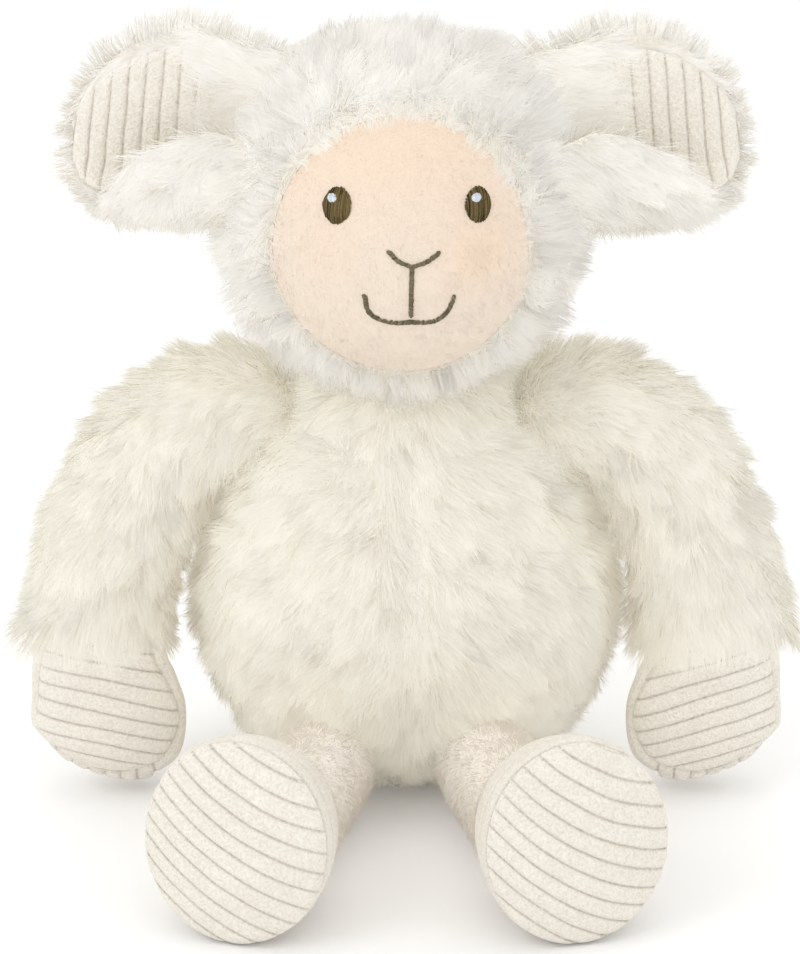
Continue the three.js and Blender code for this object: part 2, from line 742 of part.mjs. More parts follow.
function addLeg(name, side) {
  const sections = legSections(side);
  const form = (grow) => toSolid(limbForm(sections, up, grow, limbSides, soleDome));
  const hip = hips[side > 0 ? 0 : 1];
  const ankle = new THREE.Vector3(0, -hipForward - ankleReach, 0);
  const toe = sections[sections.length - 1].place;
  const heelward = sections[sections.length - 2].place.clone().sub(toe).normalize();
  const soleEdge = toe.clone().addScaledVector(heelward, soleDome);
  const behindAnkle = (shift) => halfSpace(ankle.clone().addScaledVector(back, shift), back);
  const pastAnkle = (shift) => halfSpace(ankle.clone().addScaledVector(back, -shift), back.clone().negate());
  const behindSole = (shift) => halfSpace(soleEdge.clone().addScaledVector(heelward, shift), heelward);
  const pastSole = (shift) => halfSpace(
    soleEdge.clone().addScaledVector(heelward, -shift), heelward.clone().negate(),
  );

  const tube = form(shortPile).intersect(behindAnkle(gap / 2)).add(ball(hip, hipBall, hipSides));
  addPiece(`${name}_leg_cover`, largestBody(tube.subtract(form(gap))), cloth.legFleece);

  const shoe = form(corduroy).subtract(form(gap));
  const upper = shoe.intersect(pastAnkle(gap / 2)).intersect(behindSole(gap / 2));
  addPiece(`${name}_foot_upper`, largestBody(aboveFloor(upper)), cloth.corduroy);
  addPiece(`${name}_sole`, largestBody(aboveFloor(shoe.intersect(pastSole(gap / 2)))), cloth.corduroy);
  addPiece(`${name}_leg_stuffing`, largestBody(form(0)), cloth.stuffing);
}

// Tail

function addTail() {
  const sections = tailSectionShares.map(([along, drop, half]) => ({
    place: new THREE.Vector3(0, tailRootBack + along * tailLength, tailRootHeight - drop * tailDrop),
    halfWidth: (half * tailWidth) / 2,
    halfDepth: (half * tailWidth) / 2,
  }));
  const form = toSolid(limbForm(sections, up, 0, ovalSides, tailDome));
  const clear = form.subtract(bodyForm(-tailSwing, roundSides));
  addPiece('tail', largestBody(clear.add(ball(tailRoot, tailBall))), cloth.bodyFur);
}

addBody();
addNeckPad();
addHead();
addTail();
[['left', 1], ['right', -1]].forEach(([name, side]) => {
  addEar(name, side);
  addArm(name, side);
  addLeg(name, side);
});

export default sheep;
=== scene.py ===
import math

import bpy
import numpy as np
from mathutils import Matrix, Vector


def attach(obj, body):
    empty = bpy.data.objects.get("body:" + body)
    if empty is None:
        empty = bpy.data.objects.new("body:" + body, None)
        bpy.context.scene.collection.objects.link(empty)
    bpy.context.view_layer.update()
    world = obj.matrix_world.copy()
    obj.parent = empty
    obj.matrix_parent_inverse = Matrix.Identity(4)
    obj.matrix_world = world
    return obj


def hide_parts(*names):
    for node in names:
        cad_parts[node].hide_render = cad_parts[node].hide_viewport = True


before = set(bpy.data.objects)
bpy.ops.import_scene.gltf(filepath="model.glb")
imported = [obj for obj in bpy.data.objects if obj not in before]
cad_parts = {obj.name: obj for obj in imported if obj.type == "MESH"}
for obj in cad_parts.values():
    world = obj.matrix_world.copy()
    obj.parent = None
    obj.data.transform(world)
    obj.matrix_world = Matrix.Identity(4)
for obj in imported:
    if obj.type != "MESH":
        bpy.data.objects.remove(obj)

bl_info = {
    "name": "Plush Sheep",
    "version": (1, 0, 0),
    "blender": (4, 5, 0),
    "location": "3D View > Sidebar > Plush Sheep",
    "description": "Dresses the seated plush sheep in fur, corduroy, pile and embroidery",
    "category": "Add Mesh",
}

# All shapes below are in millimetres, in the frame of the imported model, and become metres in make_mesh.
MM = 0.001
SIDES = {"left": 1, "right": -1}
BACKWARD, UPWARD = np.array([0, 1.0, 0]), np.array([0, 0, 1.0])
# Heights over the ground that the cloth, the strands, the body's backing and the legs stay above
LOWEST_CLOTH, LOWEST_STRAND, LOWEST_BACKING, LOWEST_LEG = 0.4, 0.35, 1.2, 1.0
# How deep the cloth under the fur lies on body and head, and how far cloth stands over the other parts' sections
BODY_FUR_DEPTH, HEAD_FUR_DEPTH = 5, 6.6
SLEEVE_SKIN, LEG_SKIN, EAR_SKIN, TAIL_SKIN, CORDUROY = 2.4, 1.2, -3, -4.4, 1.8
# Strands to a square millimetre of the short pile on face and legs
FACE_PILE_DENSITY, LEG_PILE_DENSITY = 5.5, 6
# Steps along a limb's spine
SPINE_STEPS = 300

# Body, head and neck, over the fur
BODY = {"width": 129, "depth": 112, "height": 122.5, "base": -0.5}
BODY_OUTLINE = [
    (0, 0), (0.25, 0), (0.4, 0.006), (0.56, 0.035), (0.75, 0.1), (0.9, 0.215), (0.98, 0.35), (1, 0.46),
    (0.97, 0.585), (0.895, 0.7), (0.79, 0.8), (0.68, 0.885), (0.57, 0.94), (0.38, 0.985), (0, 1),
]
HEAD = {"width": 103, "depth": 92, "height": 105, "base": 125, "forward": 8}
HEAD_OUTLINE = [
    (0, 0), (0.38, 0.03), (0.7, 0.115), (0.9, 0.25), (0.99, 0.42), (0.985, 0.6), (0.86, 0.79), (0.6, 0.925),
    (0.3, 0.985), (0, 1),
]
NECK = np.array([0, 0, 104.0])
NECK_BALL, NECK_SEAM_RADIUS = 36, 41.1
# Nearer to the neck's middle than this no fur grows on the head, nor on the rim round the face
NECK_BARE, RIM_BARE = 40, 41
# The height on the neck's ball where the body's fur ends, and the radius it leaves bare at hips and shoulders
BODY_FUR_TOP, JOINT_BARE = 131, 15

# Face panel: the middle and the half sizes of its oval
FACE = np.array([0, -26, 174.5])
FACE_HALF = np.array([41, 34, 42.0])

# Embroidery, as places across and up the face: middle, half sizes and tilt of the eyes, and the stitched lines
EYES = {"left": ((19.8, 190.9), (3.5, 4.6), -0.08), "right": ((-19.2, 190.7), (3.9, 4.75), 0.12)}
NOSE_LINES = [
    [(-5.1, 179.7), (-2.1, 176.6), (1.5, 174.9)], [(9.1, 179.1), (5.3, 176.4), (1.5, 174.9)],
    [(1.5, 175.3), (1.2, 159.8)],
]
MOUTH_LINE = [
    (-11.8, 166.4), (-10.3, 161.2), (-5.4, 158.7), (1.3, 158.2), (7.9, 158.9), (11.6, 162), (13.4, 166.2),
]

# Arms: reach, forward, drop, width and depth, first as shares of the arm, then of the hand
SHOULDER = np.array([45.5, 0, 113])
ARM_REACH, ARM_FORWARD, ARM_DROP = 44, 22, 110
ARM_WIDTH, ARM_DEPTH, HAND_WIDTH, HAND_DEPTH = 29, 27, 43, 25
ARM_SECTIONS = [
    (-0.22, 0, -0.005, 0.56, 0.56), (0, 0, 0, 0.83, 0.86), (0.33, 0.09, 0.01, 0.93, 0.96), (0.65, 0.27, 0.1, 1, 1),
    (0.87, 0.5, 0.27, 1.02, 1), (1, 0.7, 0.46, 1.1, 0.98), (1.05, 0.86, 0.63, 1.24, 0.93),
]
HAND_SECTIONS = [
    (1.03, 0.93, 0.72, 0.93, 0.93), (1, 0.98, 0.8, 1, 1), (1.01, 1, 0.88, 0.95, 0.93), (1.05, 1, 0.93, 0.7, 0.7),
]
CUFF_SEAM, CUFF_HEM, HAND_MIDDLE, SHOULDER_CROWN = 53, 46, 90.5, 13
# How far forward the hands' seam lies, the height below which it leans further forward, and how much
HAND_SEAM, HAND_SEAM_BEND, HAND_SEAM_LEAN = 25.5, 24, 0.42
# How steeply the hands' ribs climb away from the body, and how they bend
HAND_RIB_SLOPE, HAND_RIB_BOW = {"left": 0.32, "right": 0.22}, 0.006
# How much shorter the sleeves' fur is beside the body
INNER_TRIM = {"left": 0.12, "right": 0.42}

# Legs: splay, reach, rise, width and height, first as shares of the leg, then of the foot
HIP = np.array([24, -44.4, 17.6])
LEG_SPLAY, LEG_REACH, LEG_RISE = 23, 76, 11.4
LEG_WIDTH, FOOT_WIDTH, FOOT_HEIGHT = 28, 49, 54.5
LEG_SECTIONS = [
    (-0.03, -0.13, 0, 0.55, 0.55), (0, 0, 0, 0.88, 0.88), (0.2, 0.2, 0, 0.97, 0.97), (0.42, 0.4, 0.02, 1.03, 1.06),
]
FOOT_SECTIONS = [
    (0.58, 0.555, 0.13, 0.66, 0.61), (0.73, 0.7, 0.5, 0.85, 0.8), (0.86, 0.84, 0.82, 0.97, 0.94),
    (0.94, 0.93, 0.95, 1, 1), (1, 1, 1.02, 0.985, 0.985),
]
ANKLE = 86.4
SOLE_DOME, HIP_CROWN, HIP_SWELL = 4, 8, 0.12
SOLE_RIB_SLANT, SOLE_RIB_BOW = math.radians(31), -0.006

# Ears: distance from the root, width and thickness, as shares
EAR_ROOT = np.array([46, -3, 201])
EAR_LENGTH, EAR_WIDTH, EAR_THICKNESS, EAR_DROOP = 54, 60, 10.5, 6
# Radius of the fold and how far below the ear's middle it starts, each at the root and at the tip
EAR_CURL, EAR_LIP_START = (8.5, 10), (12, -3)
EAR_OUTLINE = [
    (0, 0.84, 0.72), (0.16, 0.94, 0.85), (0.4, 1, 1), (0.62, 0.94, 1), (0.8, 0.76, 1), (0.92, 0.5, 0.9),
    (0.985, 0.22, 0.65),
]
# Where the ear's fur ends inside the head's fur
EAR_INNER_END = (-0.3, 0.74, 0.65)
# How much wider the ear is cut below its middle, where it is folded up in front
EAR_FOLD = [(0, 2.25), (0.22, 2.05), (0.44, 1.83), (0.66, 1.66), (0.8, 1.28), (0.92, 1.1), (1, 1)]
LINING_BORDER, LINING_OUT, LINING_RAISE, LINING_DEPTH, LINING_THICKNESS = 7, 3, 2, 3.2, 2.4
# How much the lining narrows above its middle, and widens below it, on the way to the tip
LINING_TAPER, LINING_FLARE = 0.25, 0.3
# The rounded end of the lining beside the head
LINING_END = ((0, 0.03, 0.07, 0.13, 0.2), (0.3, 0.6, 0.8, 0.94, 1))

# Tail: distance along it, drop and width, as shares
TAIL_ROOT = np.array([0, 52, 36])
TAIL_LENGTH, TAIL_DROP, TAIL_WIDTH = 34, 15, 22
TAIL_SECTIONS = [
    (-0.16, 0, 0.45), (0, 0, 0.66), (0.25, 0.12, 0.85), (0.5, 0.36, 1), (0.75, 0.68, 0.92), (0.93, 0.93, 0.6),
]


# Points and directions

def unit(vectors):
    return vectors / np.maximum(np.linalg.norm(vectors, axis=-1, keepdims=True), 1e-9)


def dot(a, b):
    return (a * b).sum(axis=-1, keepdims=True)


def along_surface(directions, normals):
    return unit(directions - normals * dot(directions, normals))


def smooth_curve(rows, shares):
    """The smooth curve through rows of numbers, read at shares of its rows from 0 to 1."""
    rows = np.asarray(rows, float)
    padded = np.vstack([2 * rows[0] - rows[1], rows, 2 * rows[-1] - rows[-2]])
    at = np.clip(np.asarray(shares), 0, 1) * (len(rows) - 1)
    left = np.minimum(at.astype(int), len(rows) - 2)
    t = (at - left)[:, None]
    a, b, c, d = (padded[left + k] for k in range(4))
    return 0.5 * (2 * b + (c - a) * t + (2 * a - 5 * b + 4 * c - d) * t ** 2 + (3 * b - a - 3 * c + d) * t ** 3)


def read_rows(rows, at, wanted):
    """Rows of numbers that stand at the given distances, read at the wanted ones."""
    return np.stack([np.interp(wanted, at, column) for column in rows.T], axis=1)


def even_steps(points, count):
    """The same curve with its points evenly spaced."""
    far = np.concatenate([[0], np.cumsum(np.linalg.norm(np.diff(points, axis=0), axis=1))])
    return read_rows(points, far, np.linspace(0, far[-1], count))


def hashed(cells, salt):
    """Three numbers from 0 to 1 for each cell, always the same ones."""
    x, y, z = (cells[..., k].astype(np.int64) for k in range(3))
    mixed = (x * 73856093) ^ (y * 19349663) ^ (z * 83492791) ^ (salt * 40503)
    values = []
    for k in range(3):
        h = (mixed + k * 1013904223) & 0xFFFFFFFF
        h = ((h ^ (h >> 16)) * 0x45D9F3B) & 0xFFFFFFFF
        h = ((h ^ (h >> 16)) * 0x45D9F3B) & 0xFFFFFFFF
        values.append((h ^ (h >> 16)) / 4294967295)
    return np.stack(values, axis=-1)


def drift(points, cell, salt):
    """Vectors from -1 to 1 that change smoothly over the given distance."""
    at = points / cell
    low = np.floor(at).astype(np.int64)
    t = at - low
    t = t * t * (3 - 2 * t)
    total = np.zeros_like(points)
    for corner in np.ndindex(2, 2, 2):
        step = np.array(corner)
        weight = np.prod(np.where(step, t, 1 - t), axis=-1, keepdims=True)
        total += weight * hashed(low + step, salt)
    return total * 2 - 1


def tufts(points, cell, salt):
    """The middle of the tuft that each point belongs to, and three numbers from -1 to 1 of that tuft."""
    home = np.floor(points / cell).astype(np.int64)
    nearest = np.full(len(points), np.inf)
    middle = np.zeros_like(points)
    own = np.zeros_like(points)
    for step in np.ndindex(3, 3, 3):
        cells = home + (np.array(step) - 1)
        centre = (cells + 0.12 + 0.76 * hashed(cells, salt)) * cell
        far = ((centre - points) ** 2).sum(axis=1)
        closer = far < nearest
        nearest[closer] = far[closer]
        middle[closer] = centre[closer]
        own[closer] = hashed(cells[closer], salt + 17) * 2 - 1
    return middle, own


# Surfaces: grids of points whose rows run from end to end and whose columns run round

def turned_grid(outline, size, rows, sides):
    profile = smooth_curve(outline, np.linspace(0, 1, 240))
    profile = even_steps(np.clip(profile, 0, None) * (size["width"] / 2, size["height"]), rows)
    angle = np.linspace(0, 2 * math.pi, sides, endpoint=False)
    flat = size["depth"] / size["width"]
    grid = np.empty((rows, sides, 3))
    grid[..., 0] = profile[:, :1] * np.sin(angle)
    grid[..., 1] = -profile[:, :1] * np.cos(angle) * flat - size.get("forward", 0)
    grid[..., 2] = profile[:, 1:] + size["base"]
    return grid


def limb_sections(rows, place, half):
    return np.array([(*place(*row[:3]), *half(*row[3:])) for row in rows])


def arm_sections(side):
    def place(reach, forward, drop):
        return (side * (SHOULDER[0] + reach * ARM_REACH), -forward * ARM_FORWARD, SHOULDER[2] - drop * ARM_DROP)
    upper = limb_sections(ARM_SECTIONS, place, lambda w, d: (w * ARM_WIDTH / 2, d * ARM_DEPTH / 2))
    lower = limb_sections(HAND_SECTIONS, place, lambda w, d: (w * HAND_WIDTH / 2, d * HAND_DEPTH / 2))
    return np.vstack([upper, lower])


def leg_sections(side):
    def place(splay, reach, rise):
        return (side * (HIP[0] + splay * LEG_SPLAY), HIP[1] - reach * LEG_REACH, HIP[2] + rise * LEG_RISE)
    upper = limb_sections(LEG_SECTIONS, place, lambda w, h: (w * LEG_WIDTH / 2, h * LEG_WIDTH / 2))
    lower = limb_sections(FOOT_SECTIONS, place, lambda w, h: (w * FOOT_WIDTH / 2, h * FOOT_HEIGHT / 2))
    return np.vstack([upper, lower])


def spine_of(sections):
    """A limb's sections along its smooth spine, evenly spaced."""
    return even_steps(smooth_curve(sections, np.linspace(0, 1, SPINE_STEPS)), SPINE_STEPS)


def share_at(sections, axis, value):
    """The share of a limb's length where its spine passes a place on one axis."""
    return float(np.argmin(np.abs(spine_of(sections)[:, axis] - value))) / (SPINE_STEPS - 1)


def limb_grid(sections, across, grow, rows, sides, dome, start=0.0, end=1.0, crown=0.0, steady=1):
    """Oval sections along a smooth spine, closed by a dome past the last one and a crown before the first.

    The sections stand square to the spine's direction, averaged over the given number of its steps.
    """
    spine = spine_of(sections)
    steps, shares = np.linspace(0, 1, SPINE_STEPS), np.linspace(start, end, rows)
    read = read_rows(spine, steps, shares)
    place, half = read[:, :3], read[:, 3:]
    forward = unit(np.gradient(spine[:, :3], axis=0))
    forward = unit(np.stack([np.convolve(column, np.ones(steady), "same") for column in forward.T], axis=1))
    forward = read_rows(forward, steps, shares)
    wide = unit(np.cross(np.broadcast_to(across, forward.shape), forward))
    deep = unit(np.cross(forward, wide))
    angle = np.linspace(0, 2 * math.pi, sides, endpoint=False)
    grid = place[:, None] + wide[:, None] * (np.cos(angle)[:, None] * (half[:, :1] + grow)[:, None])
    grid = grid + deep[:, None] * (np.sin(angle)[:, None] * (half[:, 1:] + grow)[:, None])
    swell = np.linspace(0, math.pi / 2, 9)[1:]
    if crown:
        cap = place[0] + (grid[0] - place[0]) * np.cos(swell[::-1])[:, None, None]
        grid = np.concatenate([cap - forward[0] * crown * np.sin(swell[::-1])[:, None, None], grid])
    if dome:
        cap = place[-1] + (grid[-1] - place[-1]) * np.cos(swell)[:, None, None]
        grid = np.concatenate([grid, cap + forward[-1] * (dome + grow) * np.sin(swell)[:, None, None]])
    return grid


def ear_place(side, along, upward, outward):
    """A place on the ear: the cloth rolls forward below the start of its lip, and then runs up again."""
    share = np.clip(along / EAR_LENGTH, 0, 1)
    start = -(EAR_LIP_START[0] + (EAR_LIP_START[1] - EAR_LIP_START[0]) * share ** 3)
    radius = EAR_CURL[0] + (EAR_CURL[1] - EAR_CURL[0]) * share ** 2
    past = np.maximum(start - upward, 0)
    turn = np.minimum(past / radius, math.pi)
    rest = past - turn * radius
    height = np.maximum(upward, start) - (radius - outward) * np.sin(turn) - rest * np.cos(turn)
    forward = radius - (radius - outward) * np.cos(turn) + rest * np.sin(turn)
    droop = EAR_DROOP * share ** 2
    return np.stack([side * (EAR_ROOT[0] + along), EAR_ROOT[1] - forward, EAR_ROOT[2] + height - droop], axis=-1)


def ear_grid(side, border, out, shift, front, rear, grow, rows, sides, folded):
    """The ear's tongue, and for each point how far along and up it is, and its share of the thickness."""
    outline = smooth_curve(EAR_OUTLINE, np.linspace(0, 1, rows))
    if folded:
        outline = np.vstack([EAR_INNER_END, smooth_curve([EAR_INNER_END, EAR_OUTLINE[0]], np.linspace(0.2, 0.8, 4)),
                             outline])
        rows = len(outline)
    length = EAR_LENGTH - border * 2 + grow
    angle = np.linspace(0, 2 * math.pi, sides, endpoint=False)
    across = np.sign(np.cos(angle)) * np.abs(np.cos(angle)) ** 0.8
    half = outline[:, 1:2] * (EAR_WIDTH / 2 - border) + grow
    thick = ((front - rear) / 2 + grow) * outline[:, 2:3]
    along = np.broadcast_to(outline[:, :1] * length + border + out, (rows, sides))
    share = np.clip(outline[:, :1], 0, 1)
    if folded:
        wider, narrower = np.interp(share, *np.array(EAR_FOLD).T), 1
    else:
        wider, narrower = 1 + LINING_FLARE * share ** 2, 1 - LINING_TAPER * share
        half = half * np.interp(outline[:, :1], *LINING_END)
    upward = shift + half * across * np.where(across < 0, wider, narrower)
    outward = (front + rear) / 2 + thick * np.sin(angle)
    shares = np.stack([along, upward, np.broadcast_to(np.sin(angle), (rows, sides))], axis=-1)
    return ear_place(side, along, upward, outward), shares


def grid_normals(grid, closed=True):
    """Unit normals that point out of the form."""
    round_step = np.roll(grid, -1, axis=1) - np.roll(grid, 1, axis=1) if closed else np.gradient(grid, axis=1)
    normals = np.cross(np.gradient(grid, axis=0), round_step)
    weak = np.linalg.norm(normals, axis=-1) < 1e-6
    normals = unit(normals)
    if weak[0].all():
        normals[0] = unit(normals[1].mean(axis=0))
    if weak[-1].all():
        normals[-1] = unit(normals[-2].mean(axis=0))
    middle = grid.mean(axis=1, keepdims=True)
    outward = ((grid - middle) * normals).sum() if closed else 1
    return normals if outward >= 0 else -normals


def scatter(grid, normals, density, seed, extra=None, closed=True):
    """Random places on a grid, so many to a square millimetre: places, normals and other numbers."""
    rng = np.random.default_rng(seed)
    layers = [grid, normals] + ([extra] if extra is not None else [])
    stacked = np.concatenate(layers, axis=-1)
    beside = np.roll(stacked, -1, axis=1) if closed else stacked[:, 1:]
    here = stacked if closed else stacked[:, :-1]
    a, b, c, d = here[:-1], beside[:-1], beside[1:], here[1:]
    area = np.linalg.norm(np.cross((c - a)[..., :3], (d - b)[..., :3]), axis=-1).ravel() / 2
    count = int(area.sum() * density)
    picks = np.searchsorted(np.cumsum(area), rng.random(count) * area.sum())
    picks = np.minimum(picks, len(area) - 1)
    u, v = rng.random((2, count, 1))
    width = stacked.shape[-1]
    a, b, c, d = (corner.reshape(-1, width)[picks] for corner in (a, b, c, d))
    mixed = a * (1 - u) * (1 - v) + b * u * (1 - v) + c * u * v + d * (1 - u) * v
    return mixed[:, :3], unit(mixed[:, 3:6]), mixed[:, 6:]


# Meshes

def make_mesh(name, points, corners, sizes, material, uv=None, tint=None, facing=None):
    """A mesh object from points in millimetres, the corners of all faces in a row and each face's count."""
    mesh = bpy.data.meshes.new(name)
    mesh.vertices.add(len(points))
    mesh.vertices.foreach_set("co", (np.asarray(points, np.float32) * MM).ravel())
    mesh.loops.add(len(corners))
    mesh.loops.foreach_set("vertex_index", np.asarray(corners, np.int32))
    mesh.polygons.add(len(sizes))
    starts = np.concatenate([[0], np.cumsum(sizes)[:-1]]).astype(np.int32)
    mesh.polygons.foreach_set("loop_start", starts)
    mesh.update(calc_edges=True)
    mesh.polygons.foreach_set("use_smooth", np.ones(len(sizes), bool))
    if uv is not None:
        layer = mesh.uv_layers.new(name="OFBake")
        layer.data.foreach_set("uv", np.asarray(uv, np.float32)[corners].ravel())
    if tint is not None:
        tint = np.asarray(tint, np.float32).reshape(len(points), -1)
        tint = np.hstack([tint, np.zeros((len(points), 3 - tint.shape[1]), np.float32)])
        layer = mesh.attributes.new("tint", "FLOAT_VECTOR", "POINT")
        layer.data.foreach_set("vector", tint.ravel())
    if mesh.validate():
        raise RuntimeError(f"{name} has faulty faces")
    if facing is not None:
        layer = mesh.attributes.new("custom_normal", "FLOAT_VECTOR", "POINT")
        layer.data.foreach_set("vector", np.asarray(facing, np.float32).ravel())
    piece = bpy.data.objects.new(name, mesh)
    bpy.context.scene.collection.objects.link(piece)
    mesh.materials.append(material)
    return piece


def grid_faces(rows, sides, closed=True):
    last = sides if closed else sides - 1
    row, side = np.meshgrid(np.arange(rows - 1), np.arange(last), indexing="ij")
    beside = (side + 1) % sides
    quads = np.stack([row * sides + side, row * sides + beside, (row + 1) * sides + beside, (row + 1) * sides + side])
    return quads.reshape(4, -1).T


def make_form(name, grid, material, closed=True, ends=(True, True), tint=None):
    """A mesh from a grid. Its ends are closed with a fan where ends says so."""
    rows, sides = grid.shape[:2]
    points = grid.reshape(-1, 3)
    quads = grid_faces(rows, sides, closed)
    normals = grid_normals(grid, closed)
    fans = []
    ring = np.arange(sides)
    for end, first in zip(ends, (0, (rows - 1) * sides)):
        if end and closed:
            pole = len(points)
            points = np.vstack([points, grid.reshape(-1, 3)[first:first + sides].mean(axis=0)])
            fan = np.stack([np.full(sides, pole), first + (ring + 1) % sides, first + ring], axis=1)
            fans.append(fan[:, ::-1] if first else fan)
            if tint is not None:
                tint = tint.reshape(pole, -1)
                tint = np.vstack([tint, tint[first:first + sides].mean(axis=0)])
    triangles = np.vstack(fans) if fans else np.empty((0, 3), int)
    probe = quads[len(quads) // 2]
    a, b, c = points[probe[:3]]
    if np.cross(b - a, c - a) @ normals.reshape(-1, 3)[probe[0]] < 0:
        quads, triangles = quads[:, ::-1], triangles[:, ::-1]
    corners = np.concatenate([quads.ravel(), triangles.ravel()])
    sizes = np.concatenate([np.full(len(quads), 4), np.full(len(triangles), 3)])
    return make_mesh(name, points, corners, sizes, material, tint=tint)


def make_tubes(name, paths, radii, material, tints, sides=6):
    """Round threads with closed ends, one for each path of points in paths."""
    count, steps = paths.shape[:2]
    forward = unit(np.gradient(paths, axis=1))
    across = unit(np.cross(forward, np.array([0.3, 1, 0.2])))
    upward = np.cross(forward, across)
    angle = np.linspace(0, 2 * math.pi, sides, endpoint=False)
    ring = across[:, :, None] * np.cos(angle)[:, None] + upward[:, :, None] * np.sin(angle)[:, None]
    grid = paths[:, :, None] + ring * np.asarray(radii)[:, :, None, None]
    points = grid.reshape(-1, 3)
    start = np.arange(count)[:, None] * steps * sides
    quads = (grid_faces(steps, sides) + start[:, :, None]).reshape(-1, 4)
    around = np.arange(sides)
    caps = np.concatenate([start + around, start + around[::-1] + (steps - 1) * sides])
    corners = np.concatenate([quads[:, ::-1].ravel(), caps[:, ::-1].ravel()])
    sizes = np.concatenate([np.full(len(quads), 4), np.full(len(caps), sides)])
    tint = np.repeat(tints, steps * sides)
    return make_mesh(name, points, corners, sizes, material, tint=tint)


def stand_for(piece, body, nodes=()):
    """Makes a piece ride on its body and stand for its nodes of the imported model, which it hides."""
    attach(piece, body)
    if nodes:
        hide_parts(*nodes)


# Fur and pile

STRAND_STEPS = np.array([0, 0.36, 0.7, 1])
STRAND_WIDTHS = np.array([1, 0.92, 0.62])


def strand_paths(roots, normals, comb, lengths, coat, seed):
    """Four points along each strand. Strands of one tuft lean alike and draw together at their tips."""
    rng = np.random.default_rng(seed)
    big, big_own = tufts(roots, coat["tuft"], seed)
    small, small_own = tufts(roots, coat["lock"], seed + 5)
    swirl = drift(roots, coat["swirl_size"], seed + 9)
    own = rng.normal(0, 1, (len(roots), 3))
    lean = comb + swirl * coat["swirl"] + big_own * coat["spread"] + small_own * 0.3 + own * coat["stray"]
    lean = along_surface(lean, normals)
    lengths = lengths * (1 + 0.22 * big_own[:, :1] + 0.12 * small_own[:, 1:2] + 0.1 * own[:, :1])
    first = np.radians(coat["lift"] + 9 * big_own[:, 1:2] + 8 * own[:, 1:2])
    last = np.radians(coat["tip_lift"] + 16 * big_own[:, 1:2] + 10 * own[:, 2:3])
    to_big = big - roots
    to_big = to_big - normals * dot(to_big, normals)
    to_small = small - roots
    to_small = to_small - normals * dot(to_small, normals)
    paths = np.empty((len(roots), 4, 3))
    paths[:, 0] = roots
    at = roots.copy()
    for k in range(1, 4):
        middle = (STRAND_STEPS[k] + STRAND_STEPS[k - 1]) / 2
        angle = first + (last - first) * middle
        step = lengths * (STRAND_STEPS[k] - STRAND_STEPS[k - 1])
        at = at + step * (normals * np.sin(angle) + lean * np.cos(angle))
        pull = STRAND_STEPS[k] ** 1.4
        paths[:, k] = at + to_big * coat["gather"] * pull + to_small * coat["lock_gather"] * pull
    tone = 0.5 + 0.1 * swirl[:, 0] + 0.1 * big_own[:, 2] + 0.12 * small_own[:, 0] + 0.1 * own[:, 0]
    # A coat's shade darkens its strands: painted shade.
    tone = tone + coat["shade"]
    facing = unit(normals + coat["relief"] * (big_own + 0.5 * small_own - to_big / coat["tuft"]))
    return paths, np.clip(tone, 0.02, 0.94), facing


def make_strands(name, paths, widths, tone, normals, facing, material, seed):
    """Tapering ribbons that take the light as the coat does, each mapped across in tone and along to its tip.

    They cast no shadow on each other, so that the coat stays as pale as it is.
    """
    rng = np.random.default_rng(seed + 31)
    count = len(paths)
    paths[..., 2] = np.maximum(paths[..., 2], LOWEST_STRAND)
    forward = unit(paths[:, 1:] - paths[:, :-1])
    across = unit(np.cross(forward[:, 0], normals))
    lifted = np.cross(across, forward[:, 0])
    turn = rng.uniform(-1, 1, (count, 1)) * math.radians(60)
    across = across * np.cos(turn) + lifted * np.sin(turn)
    half = across[:, None] * (widths[:, None, None] * STRAND_WIDTHS[:, None] / 2)
    points = np.empty((count, 7, 3))
    points[:, 0:6:2] = paths[:, :3] - half
    points[:, 1:6:2] = paths[:, :3] + half
    points[:, 6] = paths[:, 3]
    corners = np.array([0, 1, 3, 2, 2, 3, 5, 4, 4, 5, 6])
    corners = (np.arange(count)[:, None] * 7 + corners).ravel()
    sizes = np.tile([4, 4, 3], count)
    uv = np.empty((count, 7, 2))
    uv[:, 0:6:2, 0] = tone[:, None]
    uv[:, 1:6:2, 0] = tone[:, None] + 0.05
    uv[:, 6, 0] = tone + 0.025
    uv[:, :, 1] = np.repeat(STRAND_STEPS, 2)[:7]
    facing = np.repeat(facing, 7, axis=0)
    piece = make_mesh(name, points.reshape(-1, 3), corners, sizes, material, uv=uv.reshape(-1, 2), facing=facing)
    piece.visible_shadow = False
    piece.visible_diffuse = False
    return piece


def grow_fur(name, roots, normals, comb, lengths, coat, material, body, seed, keys=None):
    """The fur of one part, as one piece for each key, such as front and back."""
    if keys is None:
        keys, names = np.zeros(len(roots), int), [name]
    else:
        keys, names = keys[0], [f"{name}_{end}" for end in keys[1]]
    paths, tone, facing = strand_paths(roots, normals, comb, lengths, coat, seed)
    rng = np.random.default_rng(seed + 77)
    widths = coat["width"] * rng.uniform(0.7, 1.2, len(roots))
    for key, piece_name in enumerate(names):
        own = keys == key
        if own.any():
            piece = make_strands(piece_name, paths[own], widths[own], tone[own], normals[own], facing[own], material,
                                 seed + key)
            stand_for(piece, body)


def thinning():
    """How many times fewer strands to grow: one, for the full coat."""
    return 1


def coat_of(settings, **changes):
    """The way the fur of one part grows. Thinned fur has fewer, wider strands."""
    thin = thinning()
    coat = {
        "density": settings.density / thin, "width": settings.strand_width / MM * math.sqrt(thin),
        "tuft": settings.tuft_size / MM, "lock": settings.lock_size / MM, "swirl_size": 22, "swirl": 0.36,
        "spread": 0.32, "stray": 0.14, "lift": 54, "tip_lift": 17, "gather": 0.3, "lock_gather": 0.3,
        "relief": 0.12, "shade": 0,
    }
    coat.update(changes)
    return coat


# Materials

